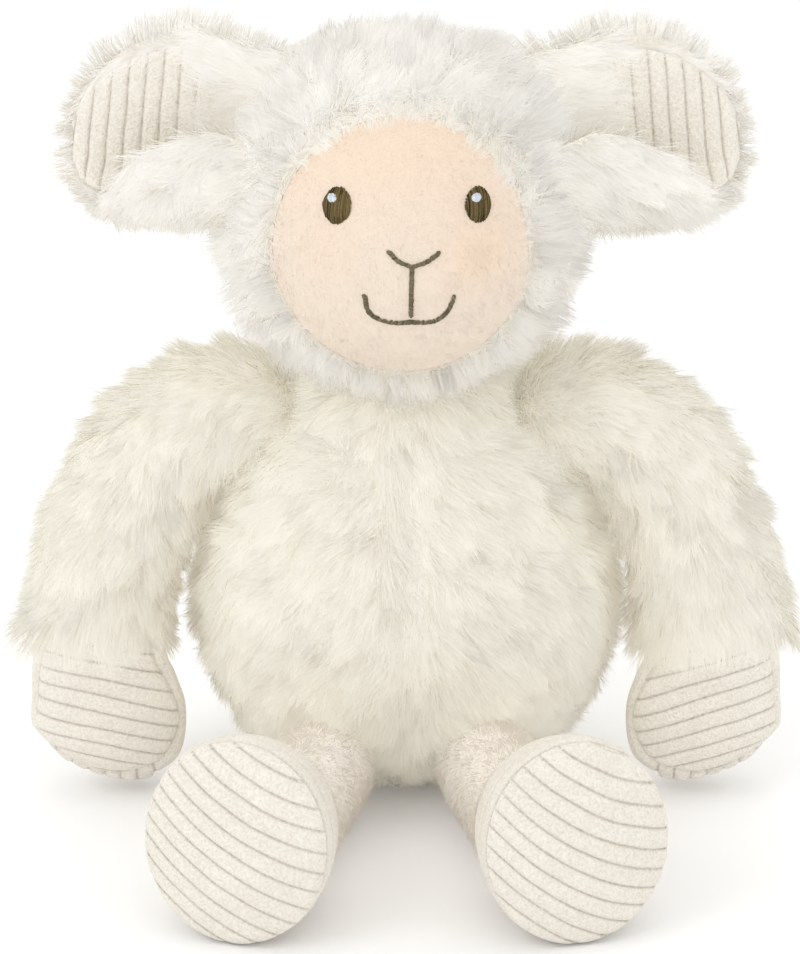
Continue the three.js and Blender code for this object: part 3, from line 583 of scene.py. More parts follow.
def start_material(name, roughness, specular=0.2, sheen=0.0, sheen_tint=(1, 1, 1)):
    material = bpy.data.materials.new(name)
    material.use_nodes = True
    shader = material.node_tree.nodes["Principled BSDF"]
    shader.inputs["Roughness"].default_value = roughness
    shader.inputs["Specular IOR Level"].default_value = specular
    shader.inputs["Sheen Weight"].default_value = sheen
    shader.inputs["Sheen Roughness"].default_value = 0.5
    shader.inputs["Sheen Tint"].default_value = (*sheen_tint, 1)
    return material, material.node_tree.nodes, material.node_tree.links, shader


def ramp(nodes, links, value, stops):
    node = nodes.new("ShaderNodeValToRGB")
    elements = node.color_ramp.elements
    while len(elements) < len(stops):
        elements.new(0.5)
    for element, (position, colour) in zip(elements, stops):
        element.position = position
        element.color = (*colour, 1)
    links.new(value, node.inputs["Fac"])
    return node.outputs["Color"]


def mix(nodes, links, blend, factor, first, second):
    node = nodes.new("ShaderNodeMix")
    node.data_type = "RGBA"
    node.blend_type = blend
    if isinstance(factor, (int, float)):
        node.inputs["Factor"].default_value = factor
    else:
        links.new(factor, node.inputs["Factor"])
    links.new(first, node.inputs[6])
    links.new(second, node.inputs[7])
    return node.outputs[2]


def noise(nodes, links, scale, detail=3.0, stretch=None):
    """Noise in the object's own coordinates, with its scale in cycles to a metre."""
    place = nodes.new("ShaderNodeTexCoord").outputs["Object"]
    if stretch:
        mapping = nodes.new("ShaderNodeMapping")
        mapping.inputs["Scale"].default_value = stretch
        links.new(place, mapping.inputs["Vector"])
        place = mapping.outputs["Vector"]
    node = nodes.new("ShaderNodeTexNoise")
    node.inputs["Scale"].default_value = scale
    node.inputs["Detail"].default_value = detail
    links.new(place, node.inputs["Vector"])
    return node.outputs["Fac"]


def bump(nodes, links, shader, height, distance, strength=1.0):
    node = nodes.new("ShaderNodeBump")
    node.inputs["Distance"].default_value = distance
    node.inputs["Strength"].default_value = strength
    links.new(height, node.inputs["Height"])
    links.new(node.outputs["Normal"], shader.inputs["Normal"])


def strand_map(nodes, links):
    """Places on the strands: X is the tone of the strand, and Y runs from its root to its tip."""
    place = nodes.new("ShaderNodeUVMap")
    place.uv_map = "OFBake"
    split = nodes.new("ShaderNodeSeparateXYZ")
    links.new(place.outputs["UV"], split.inputs["Vector"])
    return split.outputs


def fur_material(name, root, middle, tip):
    material, nodes, links, shader = start_material(name, 0.9, 0.0)
    place = strand_map(nodes, links)
    # The strands darken towards their roots: painted shade deep in the coat, which casts no shadow.
    shade = ramp(nodes, links, place["Y"], [(0, root), (0.35, middle), (0.8, tip), (1, tip)])
    tone = ramp(nodes, links, place["X"], [(0, (0.87, 0.84, 0.78)), (0.5, (0.97, 0.963, 0.95)), (1, (1, 1, 1))])
    links.new(mix(nodes, links, "MULTIPLY", 1.0, shade, tone), shader.inputs["Base Color"])
    return material


def backing_material(name, colour, dark):
    material, nodes, links, shader = start_material(name, 0.95, 0.1)
    fine = noise(nodes, links, 900, 4)
    links.new(ramp(nodes, links, fine, [(0.3, dark), (0.65, colour)]), shader.inputs["Base Color"])
    bump(nodes, links, shader, fine, 0.0006)
    return material


def tint_value(nodes, links, part="X"):
    node = nodes.new("ShaderNodeAttribute")
    node.attribute_name = "tint"
    split = nodes.new("ShaderNodeSeparateXYZ")
    links.new(node.outputs["Vector"], split.inputs["Vector"])
    return split.outputs[part]


def arithmetic(nodes, links, operation, *values):
    node = nodes.new("ShaderNodeMath")
    node.operation = operation
    for socket, value in zip(node.inputs, values):
        if isinstance(value, (int, float)):
            socket.default_value = value
        else:
            links.new(value, socket)
    return node.outputs["Value"]


def pile_stops(colours):
    """Where each of the pile's two or three colours stands on its scale of tint."""
    return list(zip((0, 1) if len(colours) == 2 else (0, 0.75, 1), colours))


def pile_material(name, *colours):
    """Short velvety pile whose colour runs through the given ones with the mesh's tint."""
    material, nodes, links, shader = start_material(name, 0.85, 0.15, 0.35, (1, 0.97, 0.93))
    colour = ramp(nodes, links, tint_value(nodes, links), pile_stops(colours))
    patches = ramp(nodes, links, noise(nodes, links, 160, 4), [(0.3, (0.98, 0.975, 0.97)), (0.7, (1, 1, 1))])
    fine = noise(nodes, links, 2600, 3)
    fleck = ramp(nodes, links, fine, [(0.3, (0.96, 0.955, 0.95)), (0.62, (1, 1, 1))])
    colour = mix(nodes, links, "MULTIPLY", 1.0, colour, patches)
    links.new(mix(nodes, links, "MULTIPLY", 1.0, colour, fleck), shader.inputs["Base Color"])
    bump(nodes, links, shader, fine, 0.00012)
    return material


def fuzz_ramp_material(name, *colours):
    """Strands of short pile, in the colours of the cloth under them."""
    material, nodes, links, shader = start_material(name, 0.85, 0.15, 0.2, (1, 0.97, 0.93))
    tone = strand_map(nodes, links)["X"]
    links.new(ramp(nodes, links, tone, pile_stops(colours)), shader.inputs["Base Color"])
    return material


def corduroy_material(name, groove_shade, ridge):
    """Velvety ribs: the mesh's tint counts the ribs, whole in the grooves, and how deep a seam is. Grooves and seams
    take the darker groove colour, painted shade.
    """
    material, nodes, links, shader = start_material(name, 0.85, 0.15, 0.2, (1, 0.98, 0.95))
    fine = noise(nodes, links, 2200, 4)
    part = arithmetic(nodes, links, "FRACT", tint_value(nodes, links))
    within = arithmetic(nodes, links, "ABSOLUTE", arithmetic(nodes, links, "MULTIPLY_ADD", part, 2, -1))
    within = arithmetic(nodes, links, "MAXIMUM", within, tint_value(nodes, links, "Y"))
    rough = arithmetic(nodes, links, "MULTIPLY", arithmetic(nodes, links, "SUBTRACT", fine, 0.5), 0.3)
    within = arithmetic(nodes, links, "ADD", within, rough)
    colour = ramp(nodes, links, within, [(0, ridge), (0.8, ridge), (0.96, groove_shade), (1, groove_shade)])
    pile = noise(nodes, links, 1300, 5)
    fleck = ramp(nodes, links, pile, [(0.35, (0.88, 0.87, 0.85)), (0.6, (1, 1, 1))])
    patches = ramp(nodes, links, noise(nodes, links, 120, 3), [(0.3, (0.96, 0.955, 0.95)), (0.7, (1, 1, 1))])
    colour = mix(nodes, links, "MULTIPLY", 1.0, colour, fleck)
    links.new(mix(nodes, links, "MULTIPLY", 1.0, colour, patches), shader.inputs["Base Color"])
    bump(nodes, links, shader, pile, 0.0007)
    return material


def thread_material(name, dark, light, roughness=0.75):
    material, nodes, links, shader = start_material(name, roughness, 0.15)
    fine = noise(nodes, links, 3000, 2)
    colour = ramp(nodes, links, tint_value(nodes, links), [(0, dark), (1, light)])
    fleck = ramp(nodes, links, fine, [(0.3, (0.75, 0.75, 0.75)), (0.7, (1, 1, 1))])
    links.new(mix(nodes, links, "MULTIPLY", 1.0, colour, fleck), shader.inputs["Base Color"])
    bump(nodes, links, shader, fine, 0.0002)
    return material


def filling_material(name, colour, dark, scale):
    """Loose fibre or woven bag cloth, for the pieces inside."""
    material, nodes, links, shader = start_material(name, 0.95, 0.1)
    curls = noise(nodes, links, scale, 5, (1, 1, 2.5))
    links.new(ramp(nodes, links, curls, [(0.35, dark), (0.65, colour)]), shader.inputs["Base Color"])
    bump(nodes, links, shader, curls, 0.001)
    return material


def own_material(name, maker, *values):
    """The material of that name, made the first time it is asked for."""
    return bpy.data.materials.get(name) or maker(name, *values)


def head_fur_material(settings):
    return own_material("head_fur_strands", fur_material, settings.head_root_shade, settings.head_middle, settings.head_tip)


def body_fur_material(settings):
    return own_material("body_fur_strands", fur_material, settings.body_root_shade, settings.body_middle, settings.body_tip)


def fur_backing_material(settings):
    # The backing's darker specks take the roots' colour, painted shade deep in the coat.
    return own_material("fur_backing", backing_material, settings.body_middle, settings.body_root_shade)


def cord_cloth_material(settings):
    return own_material("corduroy_ribs", corduroy_material, settings.groove_shade, settings.ridge)


# Body

def body_skin():
    """The body's surface below the tips of its fur, with the seams down the front and across the chest drawn in."""
    grid = turned_grid(BODY_OUTLINE, BODY, 110, 150)
    from_neck = grid - NECK
    far = np.linalg.norm(from_neck, axis=-1, keepdims=True)
    inside = (far < NECK_BALL) & (grid[..., 2:] > NECK[2])
    grid = np.where(inside, NECK + from_neck / np.maximum(far, 1e-6) * NECK_BALL, grid)
    normals = grid_normals(grid)
    x, y, z = (grid[..., k] for k in range(3))
    front = np.clip(-y / 20, 0, 1)
    seam = np.exp(-((x - 1) / 3.2) ** 2) * np.clip((z - 12) / 15, 0, 1) * 2.2
    cross = np.exp(-((z - 84) / 3) ** 2) * np.clip(x / 12, 0, 1) * 1.6
    grid = grid - normals * (BODY_FUR_DEPTH + (seam + cross) * front)[..., None]
    grid[..., 2] = np.maximum(grid[..., 2], LOWEST_BACKING)
    return grid


def quadrants(points):
    keys = (points[:, 0] < 0) + 2 * (points[:, 1] > 0)
    return keys, ("front_left", "front_right", "back_left", "back_right")


class SHEEP_OT_body(bpy.types.Operator):
    """Sews the body's fur cover over its stuffing"""
    bl_idname = "sheep.body"
    bl_label = "Body"

    def execute(self, context):
        fur = context.scene.sheep_fur
        skin = body_skin()
        backing = make_form("body_backing", skin, fur_backing_material(fur))
        stand_for(backing, "torso", ["body_cover"])
        coat = coat_of(fur, lift=48, tip_lift=12)
        roots, normals, _ = scatter(skin, grid_normals(skin), coat["density"], 11)
        keep = roots[:, 2] < BODY_FUR_TOP
        for joint in [place * (side, 1, 1) for place in (HIP, SHOULDER) for side in SIDES.values()]:
            keep &= np.linalg.norm(roots - joint, axis=1) > JOINT_BARE
        roots, normals = roots[keep], normals[keep]
        comb = np.zeros_like(roots)
        comb[:, 2] = -0.9
        comb[:, 0] = 0.45 * np.tanh((roots[:, 0] - 1) / 12)
        lengths = np.full((len(roots), 1), fur.body_length / MM)
        lengths *= np.clip(0.6 + roots[:, 2:] / 110, 0.6, 1)
        grow_fur("body_fur", roots, normals, comb, lengths, coat, body_fur_material(fur), "torso", 3,
                 quadrants(roots))
        return {"FINISHED"}


# Head and face

def face_place(x, z):
    """The point of the face panel behind a place on the upright plane in front of it."""
    inside = 1 - ((x - FACE[0]) / FACE_HALF[0]) ** 2 - ((z - FACE[2]) / FACE_HALF[2]) ** 2
    y = FACE[1] - FACE_HALF[1] * np.sqrt(np.maximum(inside, 0))
    return np.stack([np.broadcast_to(x, y.shape), y, np.broadcast_to(z, y.shape)], axis=-1)


def face_normals(points):
    return unit((points - FACE) / FACE_HALF ** 2)


def hollows(x, z):
    """How far the embroidery and the stuffing draw the face in, or push it out."""
    depth = np.zeros_like(x)
    for across, high, wide, tall, deep in (
        (1.5, 160, 3.2, 3, 0.9), (-11, 166, 4, 4, 0.8), (13, 166, 4, 4, 0.8), (1.5, 174, 4.5, 4, 1.1),
        (-20, 190, 7, 7, 0.7), (20, 190, 7, 7, 0.7), (-21, 178, 2.2, 6, 0.55), (-17.5, 176, 2.0, 6, -0.5),
        (-24.5, 175, 2.2, 5, -0.45), (-3, 151, 10, 3, 0.4), (18, 172, 12, 10, -0.8), (-9, 150, 5, 4, -0.4),
    ):
        depth += deep * np.exp(-((x - across) / wide) ** 2 - ((z - high) / tall) ** 2)
    return depth


def face_surface(points):
    normals = face_normals(points)
    return points - normals * hollows(points[..., 0], points[..., 2])[..., None]


def head_roots(density):
    """Places for the head's fur: all over the head, and on the hidden rim of the face panel."""
    skin = turned_grid(HEAD_OUTLINE, HEAD, 100, 140)
    skin = skin - grid_normals(skin) * HEAD_FUR_DEPTH
    roots, normals, _ = scatter(skin, grid_normals(skin), density, 21)
    in_face = np.linalg.norm((roots - FACE) / (FACE_HALF - 0.5), axis=1) < 1
    keep = ~in_face & (np.linalg.norm(roots - NECK, axis=1) > NECK_BARE)
    roots, normals = roots[keep], normals[keep]
    turn = np.linspace(0, 2 * math.pi, 160, endpoint=False)
    start = 66 - 10 * np.clip(np.cos(turn), 0, 1) ** 1.5 - 12 * np.clip(-np.sin(turn), 0, 1) ** 2
    tilt = np.radians(start + (101 - start) * np.linspace(0, 1, 30)[:, None])
    rim = np.stack([np.sin(tilt) * np.cos(turn), -np.cos(tilt), np.sin(tilt) * np.sin(turn)], axis=-1)
    rim = FACE + rim * (FACE_HALF + 0.2)
    rim_roots, rim_normals, _ = scatter(rim, face_normals(rim), density * 1.15, 22)
    keep = np.linalg.norm(rim_roots - NECK, axis=1) > RIM_BARE
    rim_roots, rim_normals = rim_roots[keep], rim_normals[keep]
    near_rim = np.concatenate([np.zeros(len(roots)), np.clip((rim_roots[:, 1] + 22) / -16, 0, 1)])
    return np.vstack([roots, rim_roots]), np.vstack([normals, rim_normals]), near_rim[:, None], (skin, rim)


class SHEEP_OT_head(bpy.types.Operator):
    """Sews the head's fur cover and combs it away from the face"""
    bl_idname = "sheep.head"
    bl_label = "Head"

    def execute(self, context):
        fur = context.scene.sheep_fur
        coat = coat_of(fur, tuft=fur.tuft_size / MM * 0.9, lift=66, tip_lift=30, spread=0.5, swirl=0.6)
        roots, normals, near_rim, (skin, rim) = head_roots(coat["density"])
        backing = make_form("head_backing", skin, fur_backing_material(fur))
        stand_for(backing, "head", ["head_cover"])
        hem = make_form("face_hem", rim, fur_backing_material(fur), ends=(False, False))
        stand_for(hem, "head")
        away = unit((roots - FACE) * (1, 0, 1))
        comb = away * 0.75 + np.array([0, 0.35, -0.3])
        rng = np.random.default_rng(23)
        below = np.clip((200 - roots[:, 2:]) / 16, 0, 1)
        inward = near_rim > 0.45 + 0.42 * below + 0.75 * rng.random((len(roots), 1))
        comb = np.where(inward, away * -0.9 + np.array([0, -0.8, 0]), comb * (1 - 0.5 * near_rim * (1 - below)))
        cheek = np.exp(-((roots[:, 2:] - 165) / 22) ** 2) * np.clip(-roots[:, :1] / 40, 0, 1)
        lengths = fur.head_length / MM * (1 - (0.5 - 0.22 * below * ~inward) * near_rim) * (1 + 0.3 * cheek)
        coat["lift"] = np.where(inward, 30, coat["lift"] - 14 * near_rim * below)
        coat["tip_lift"] = np.where(inward, -4, coat["tip_lift"])
        # Strands turned in over the face, and a little those near its rim, are darkened: painted shade.
        coat["shade"] = np.where(inward, -0.4, -0.12 * near_rim)[:, 0]
        grow_fur("head_fur", roots, normals, comb, lengths, coat, head_fur_material(fur), "head", 5,
                 quadrants(roots + (0, 8, 0)))
        return {"FINISHED"}


class SHEEP_OT_face(bpy.types.Operator):
    """Fits the smooth face panel with its short pile"""
    bl_idname = "sheep.face"
    bl_label = "Face"

    def execute(self, context):
        cloth = context.scene.sheep_cloth
        colours = cloth.face_cool, cloth.face_warm, cloth.face_blush_and_shade
        material = own_material("face_pile", pile_material, *colours)
        share = np.linspace(0.004, 0.97, 110)[:, None]
        turn = np.linspace(0, 2 * math.pi, 200, endpoint=False)
        across = FACE[0] + FACE_HALF[0] * share * np.cos(turn)
        high = FACE[2] + FACE_HALF[2] * share * np.sin(turn)
        grid = face_surface(face_place(across, high))
        tint = self.warmth_and_shade(grid)
        panel = make_form("face_pile_panel", grid, material, ends=(True, False), tint=tint)
        stand_for(panel, "head", ["face_panel"])
        roots, normals, _ = scatter(grid, grid_normals(grid), FACE_PILE_DENSITY / thinning(), 31)
        keep = (roots[:, 1] < -36) & ~self.stitched(roots)
        roots, normals = roots[keep], normals[keep]
        coat = coat_of(context.scene.sheep_fur, width=0.17, tuft=2.6, lock=0.9, swirl=0.5, stray=0.3, lift=40,
                       tip_lift=14, gather=0.05, lock_gather=0.2, relief=0.08)
        comb = np.tile(np.array([0.25, 0, -1.0]), (len(roots), 1))
        paths, tone, facing = strand_paths(roots, normals, comb, np.full((len(roots), 1), 1.1), coat, 33)
        tone = np.clip(self.warmth_and_shade(roots) + (tone - 0.5) * 0.25, 0.02, 0.94)
        widths = np.full(len(roots), coat["width"])
        fuzz_material = own_material("face_fuzz", fuzz_ramp_material, *colours)
        fuzz = make_strands("face_fuzz", paths, widths, tone, normals, facing, fuzz_material, 34)
        stand_for(fuzz, "head")
        return {"FINISHED"}

    def stitched(self, points):
        """Whether places on the face lie under the embroidery."""
        flat = points[:, [0, 2]]
        under = np.zeros(len(flat), bool)
        for middle, half, _ in EYES.values():
            under |= (((flat - middle) / (np.array(half) + 0.4)) ** 2).sum(axis=1) < 1
        for line in NOSE_LINES + [MOUTH_LINE]:
            dense = smooth_curve(line, np.linspace(0, 1, 60))
            under |= np.linalg.norm(flat[:, None] - dense, axis=2).min(axis=1) < 0.95
        return under

    def warmth_and_shade(self, points):
        """From 0 where the pile is cream through peach to 1 where it takes the blush: warmest on the forehead and the
        cheeks. The blush is partly the cheek's own colour and partly painted shade.
        """
        x, z = points[..., 0], points[..., 2]
        warm = 0.28 + 0.46 * np.clip((z - 178) / 26, 0, 1)
        # High on the sheep's left cheek the pile runs into the blush: partly a real blush, partly painted shade.
        warm = warm + 0.6 * np.exp(-((x - 20) / 10) ** 2 - ((z - 177) / 9) ** 2)
        warm = warm + 0.25 * np.exp(-((x + 22) / 9) ** 2 - ((z - 178) / 9) ** 2)
        edge = ((x - FACE[0]) / FACE_HALF[0]) ** 2 + ((z - FACE[2]) / FACE_HALF[2]) ** 2
        return np.clip(warm + 0.2 * np.clip(edge * 4 - 2.6, 0, 1), 0, 1)


# Embroidery

def satin(name, starts, ends, lifts, radius, material, seed):
    """Threads side by side from starts to ends over the face, each arched by its lift."""
    rng = np.random.default_rng(seed)
    steps = np.linspace(0, 1, 6)
    flat = starts[:, None] * (1 - steps[:, None]) + ends[:, None] * steps[:, None]
    flat = flat + rng.normal(0, radius * 0.15, (len(starts), 1, 2))
    base = face_surface(face_place(flat[..., 0], flat[..., 1]))
    arch = lifts[:, None] * np.sin(steps * math.pi) ** 0.5 + radius * 0.4
    paths = base + face_normals(base) * arch[..., None]
    radii = radius * rng.uniform(0.85, 1.12, (len(starts), 1)) * (0.75 + 0.25 * np.sin(steps * math.pi))
    return make_tubes(name, paths, radii, material, rng.random(len(starts)))


def satin_line(name, lines, width, radius, lean, lift, material, seed):
    """A line of close stitches that lie across it, along each of the given lines of places."""
    starts, ends = [], []
    rng = np.random.default_rng(seed + 7)
    for line in lines:
        line = np.asarray(line, float)
        dense = smooth_curve(line, np.linspace(0, 1, 200)) if len(line) > 2 else np.linspace(line[0], line[1], 200)
        length = np.linalg.norm(np.diff(dense, axis=0), axis=1).sum()
        places = even_steps(dense, int(length / (radius * 1.35)) + 2)
        run = unit(np.gradient(places, axis=0))
        over = np.stack([-run[:, 1], run[:, 0]], axis=1)
        over = unit(over + run * lean)
        fullness = np.clip(np.minimum(np.arange(len(places)), np.arange(len(places))[::-1]) / 1.5, 0.35, 1)[:, None]
        ragged = rng.uniform(0.78, 1.2, (2, len(places), 1))
        starts.append(places - over * width / 2 * fullness * ragged[0])
        ends.append(places + over * width / 2 * fullness * ragged[1])
    starts, ends = np.vstack(starts), np.vstack(ends)
    return satin(name, starts, ends, np.full(len(starts), lift), radius, material, seed)


class SHEEP_OT_embroidery(bpy.types.Operator):
    """Sews the eyes, the nose and the mouth in satin stitch"""
    bl_idname = "sheep.embroidery"
    bl_label = "Eyes, nose and mouth"

    def execute(self, context):
        stitch = context.scene.sheep_stitches
        radius = stitch.thread / MM / 2
        brown = own_material("nose_and_mouth_thread", thread_material, stitch.brown_dark, stitch.brown_light)
        eye_brown = own_material("dark_eye_thread", thread_material, stitch.eye_dark, stitch.eye_light)
        white = own_material("pale_eye_thread", thread_material, stitch.white_dark, stitch.white_light, 0.35)
        for name, (middle, half, tilt) in EYES.items():
            side = SIDES[name]
            eye = self.oval(f"{name}_eye_stitches", middle, half, tilt, radius, 1.5, eye_brown, 40 + side)
            stand_for(eye, "head", [f"{name}_eye"])
            spot = (middle[0] - 0.9, middle[1] + 1.7)
            light = self.oval(f"{name}_eye_light", spot, (1.45, 1.55), 0, radius * 0.9, 2.1, white, 50 + side)
            stand_for(light, "head", [f"{name}_eye_highlight"])
        nose = satin_line("nose_stitches", NOSE_LINES, 1.35, radius * 0.85, 0.6, 0.5, brown, 61)
        stand_for(nose, "head", ["nose_stitch"])
        mouth = satin_line("mouth_stitches", [MOUTH_LINE], 1.4, radius * 0.85, 0.6, 0.5, brown, 62)
        stand_for(mouth, "head", ["mouth_stitch"])
        return {"FINISHED"}

    def oval(self, name, middle, half, tilt, radius, lift, material, seed):
        """An oval of upright satin threads, highest in its middle."""
        across = np.arange(-half[0], half[0] + 0.01, radius * 1.3)
        across = np.concatenate([across, across[:-1] + radius * 0.65])
        share = np.clip(across / half[0], -0.98, 0.98)
        tall = half[1] * np.sqrt(1 - share ** 2)
        rng = np.random.default_rng(seed)
        top = tall * rng.uniform(0.93, 1.06, len(tall))
        low = tall * rng.uniform(0.93, 1.06, len(tall))
        lean = tilt * tall
        starts = np.stack([middle[0] + across - lean, middle[1] - low], axis=1)
        ends = np.stack([middle[0] + across + lean, middle[1] + top], axis=1)
        lifts = lift * np.sqrt(1 - share ** 2) ** 0.8
        return satin(name, starts, ends, lifts, radius, material, seed)


# Corduroy

def ribbed(grid, normals, along, cloth, extra=0.0):
    """The grid with ribs that follow the given distance along the cloth, and their tint."""
    at = along / (cloth.rib_pitch / MM)
    wave = drift(grid, 9, 71)[..., 0] * 0.05
    within = np.abs(2 * ((at + wave) % 1) - 1)
    height = 1 - within ** 4.5
    # The tint's second number darkens seams and drawn-in edges towards the groove colour: painted shade.
    tint = np.stack([at + wave, np.clip(np.broadcast_to(extra, within.shape) * 0.8, 0, 1)], axis=-1)
    return grid + normals * ((height - 1) * cloth.rib_relief / MM - extra)[..., None], tint


class SHEEP_OT_arms(bpy.types.Operator):
    """Sews the fur sleeves and the corduroy hands"""
    bl_idname = "sheep.arms"
    bl_label = "Arms and hands"

    def execute(self, context):
        fur, cloth = context.scene.sheep_fur, context.scene.sheep_cloth
        for name, side in SIDES.items():
            sections = arm_sections(side)
            hem = share_at(sections, 2, CUFF_HEM + 4)
            top = share_at(sections, 0, side * SHOULDER[0])
            sleeve = limb_grid(sections, BACKWARD, SLEEVE_SKIN, 90, 72, 0, top, hem, SHOULDER_CROWN)
            backing = make_form(f"{name}_sleeve_backing", sleeve, fur_backing_material(fur))
            stand_for(backing, f"{name}_arm", [f"{name}_arm_sleeve"])
            shares = np.broadcast_to(np.linspace(0, 1, len(sleeve))[:, None, None], (*sleeve.shape[:2], 1))
            coat = coat_of(fur)
            roots, normals, share = scatter(sleeve, grid_normals(sleeve), coat["density"], 100 + side, shares)
            spine = np.gradient(sections[:, :3], axis=0)
            rows = np.argmin(np.linalg.norm(roots[:, None] - sections[None, :, :3], axis=2), axis=1)
            comb = unit(spine[rows]) * 0.9 + np.array([side * -0.04, 0, -0.2])
            inside = np.clip(-side * normals[:, :1], 0, 1) * np.clip(share * 2 - 0.6, 0, 1)
            lengths = fur.arm_length / MM * (1 + 0.12 * share ** 3) * (1 - INNER_TRIM[name] * inside)
            coat["lift"] = coat["lift"] - 6 * share ** 4
            keys = (((roots - sections[rows, :3])[:, 1] > 0).astype(int), ("front", "back"))
            grow_fur(f"{name}_sleeve_fur", roots, normals, comb, lengths, coat, body_fur_material(fur),
                     f"{name}_arm", 110 + side, keys)
            self.hand(name, side, sections, cloth)
        return {"FINISHED"}

    def hand(self, name, side, sections, cloth):
        start = share_at(sections, 2, CUFF_SEAM + 4)
        grid = limb_grid(sections, BACKWARD, CORDUROY, 170, 260, 2.5, start, 1, steady=31)
        normals = grid_normals(grid)
        x, y, z = (grid[..., k] for k in range(3))
        outer = side * x - SHOULDER[0] - ARM_REACH
        ahead = y + HAND_SEAM + HAND_SEAM_LEAN * np.clip(HAND_SEAM_BEND - z, 0, None)
        edge = 3.5 * cloth.rib_pitch / MM
        upright = np.clip(side * x - HAND_MIDDLE, -edge, edge)
        across = z - HAND_RIB_SLOPE[name] * outer + HAND_RIB_BOW * outer ** 2
        along = np.where(ahead < 0, across, upright)
        seam = np.exp(-(ahead / 1.1) ** 2) * 1.1
        ribs, tint = ribbed(grid, normals, along, cloth, seam)
        ribs[..., 2] = np.maximum(ribs[..., 2], LOWEST_CLOTH)
        hand = make_form(f"{name}_hand", ribs, cord_cloth_material(cloth), tint=tint)
        stand_for(hand, f"{name}_arm", [f"{name}_hand_front", f"{name}_hand_back"])


class SHEEP_OT_legs(bpy.types.Operator):
    """Sews the short-piled legs and the corduroy feet"""
    bl_idname = "sheep.legs"
    bl_label = "Legs and feet"

    def execute(self, context):
        fur, cloth = context.scene.sheep_fur, context.scene.sheep_cloth
        for name, side in SIDES.items():
            sections = leg_sections(side)
            ankle = share_at(sections, 1, -ANKLE)
            leg = limb_grid(sections, UPWARD, LEG_SKIN, 60, 80, 0, 0.03, min(ankle + 0.03, 1), HIP_CROWN)
            in_seat = np.clip((leg[..., 1:2] - HIP[1]) / 6, 0, 1)
            leg = leg + (leg - leg.mean(axis=1, keepdims=True)) * in_seat * HIP_SWELL
            leg[..., 2] = np.maximum(leg[..., 2], LOWEST_LEG)
            material = own_material("leg_pile", pile_material, cloth.leg_dark, cloth.leg_light)
            cover = make_form(f"{name}_leg_pile", leg, material, tint=0.6 + 0.4 * drift(leg, 8, 81)[..., 0])
            stand_for(cover, f"{name}_leg", [f"{name}_leg_cover"])
            coat = coat_of(fur, width=0.18, tuft=3.4, lock=1.2, swirl=0.6, swirl_size=12, stray=0.16, lift=50,
                           tip_lift=14, gather=0.15, lock_gather=0.15, relief=0.05)
            roots, normals, _ = scatter(leg, grid_normals(leg), LEG_PILE_DENSITY / thinning(), 120 + side)
            comb = np.tile(np.array([0, -1.0, -0.4]), (len(roots), 1))
            lengths = np.full((len(roots), 1), cloth.leg_pile / MM)
            fuzz_material = own_material("leg_fuzz", fuzz_ramp_material, cloth.leg_dark, cloth.leg_light)
            grow_fur(f"{name}_leg_fuzz", roots, normals, comb, lengths, coat, fuzz_material, f"{name}_leg",
                     130 + side)
            self.foot(name, side, sections, ankle, cloth)
        return {"FINISHED"}

    def foot(self, name, side, sections, ankle, cloth):
        material = cord_cloth_material(cloth)
        upper = limb_grid(sections, UPWARD, CORDUROY, 150, 340, 0, ankle, 1)
        rim = upper[-1]
        middle = rim.mean(axis=0)
        forward = unit(sections[-1, :3] - sections[-2, :3])
        normals = grid_normals(upper)
        rows = np.linspace(0, 1, upper.shape[0])[:, None]
        along = np.broadcast_to(rows * np.linalg.norm(middle - upper[0].mean(axis=0)), upper.shape[:2])
        drawn = np.exp(-((1 - rows) / 0.03) ** 2) + 0.8 * np.exp(-(rows / 0.04) ** 2)
        ribs, tint = ribbed(upper, normals, along, cloth, drawn)
        ribs[..., 2] = np.maximum(ribs[..., 2], LOWEST_CLOTH)
        foot = make_form(f"{name}_foot", ribs, material, ends=(False, False), tint=tint)
        stand_for(foot, f"{name}_leg", [f"{name}_foot_upper"])
        share = np.concatenate([np.linspace(0.01, 0.9, 80), np.linspace(0.91, 1, 14)])[:, None, None]
        swell = SOLE_DOME + CORDUROY
        grid = middle + (rim - middle) * share + forward * swell * (1 - share ** 2.4)
        normals = np.broadcast_to(forward, grid.shape)
        bow = SOLE_RIB_BOW * (grid[..., 0] - middle[0]) ** 2
        along = grid[..., 0] * math.sin(SOLE_RIB_SLANT) + grid[..., 2] * math.cos(SOLE_RIB_SLANT) + bow
        ribs, tint = ribbed(grid, normals, along, cloth)
        edge = np.clip((share[..., 0] - 0.93) / 0.07, 0, 1)
        ribs = ribs - forward * (edge ** 2 * 0.8)[..., None]
        ribs[..., 2] = np.maximum(ribs[..., 2], LOWEST_CLOTH)
        sole = make_form(f"{name}_foot_sole", ribs, material, ends=(True, False), tint=tint)
        stand_for(sole, f"{name}_leg", [f"{name}_sole"])


# Ears and tail

def lining_half(along, above):
    """Half the width of the ear's lining at distances along the ear, and nothing past its ends."""
    outline = smooth_curve(EAR_OUTLINE, np.linspace(0, 1, 100))
    reach = outline[:, 0] * (EAR_LENGTH - LINING_BORDER * 2) + LINING_BORDER + LINING_OUT
    half = np.interp(along, reach, outline[:, 1] * (EAR_WIDTH / 2 - LINING_BORDER), left=0, right=0)
    share = np.interp(along, reach, outline[:, 0])
    half = half * np.interp(share, *LINING_END)
    return half * np.where(above, 1 - LINING_TAPER * share, 1 + LINING_FLARE * share ** 2)


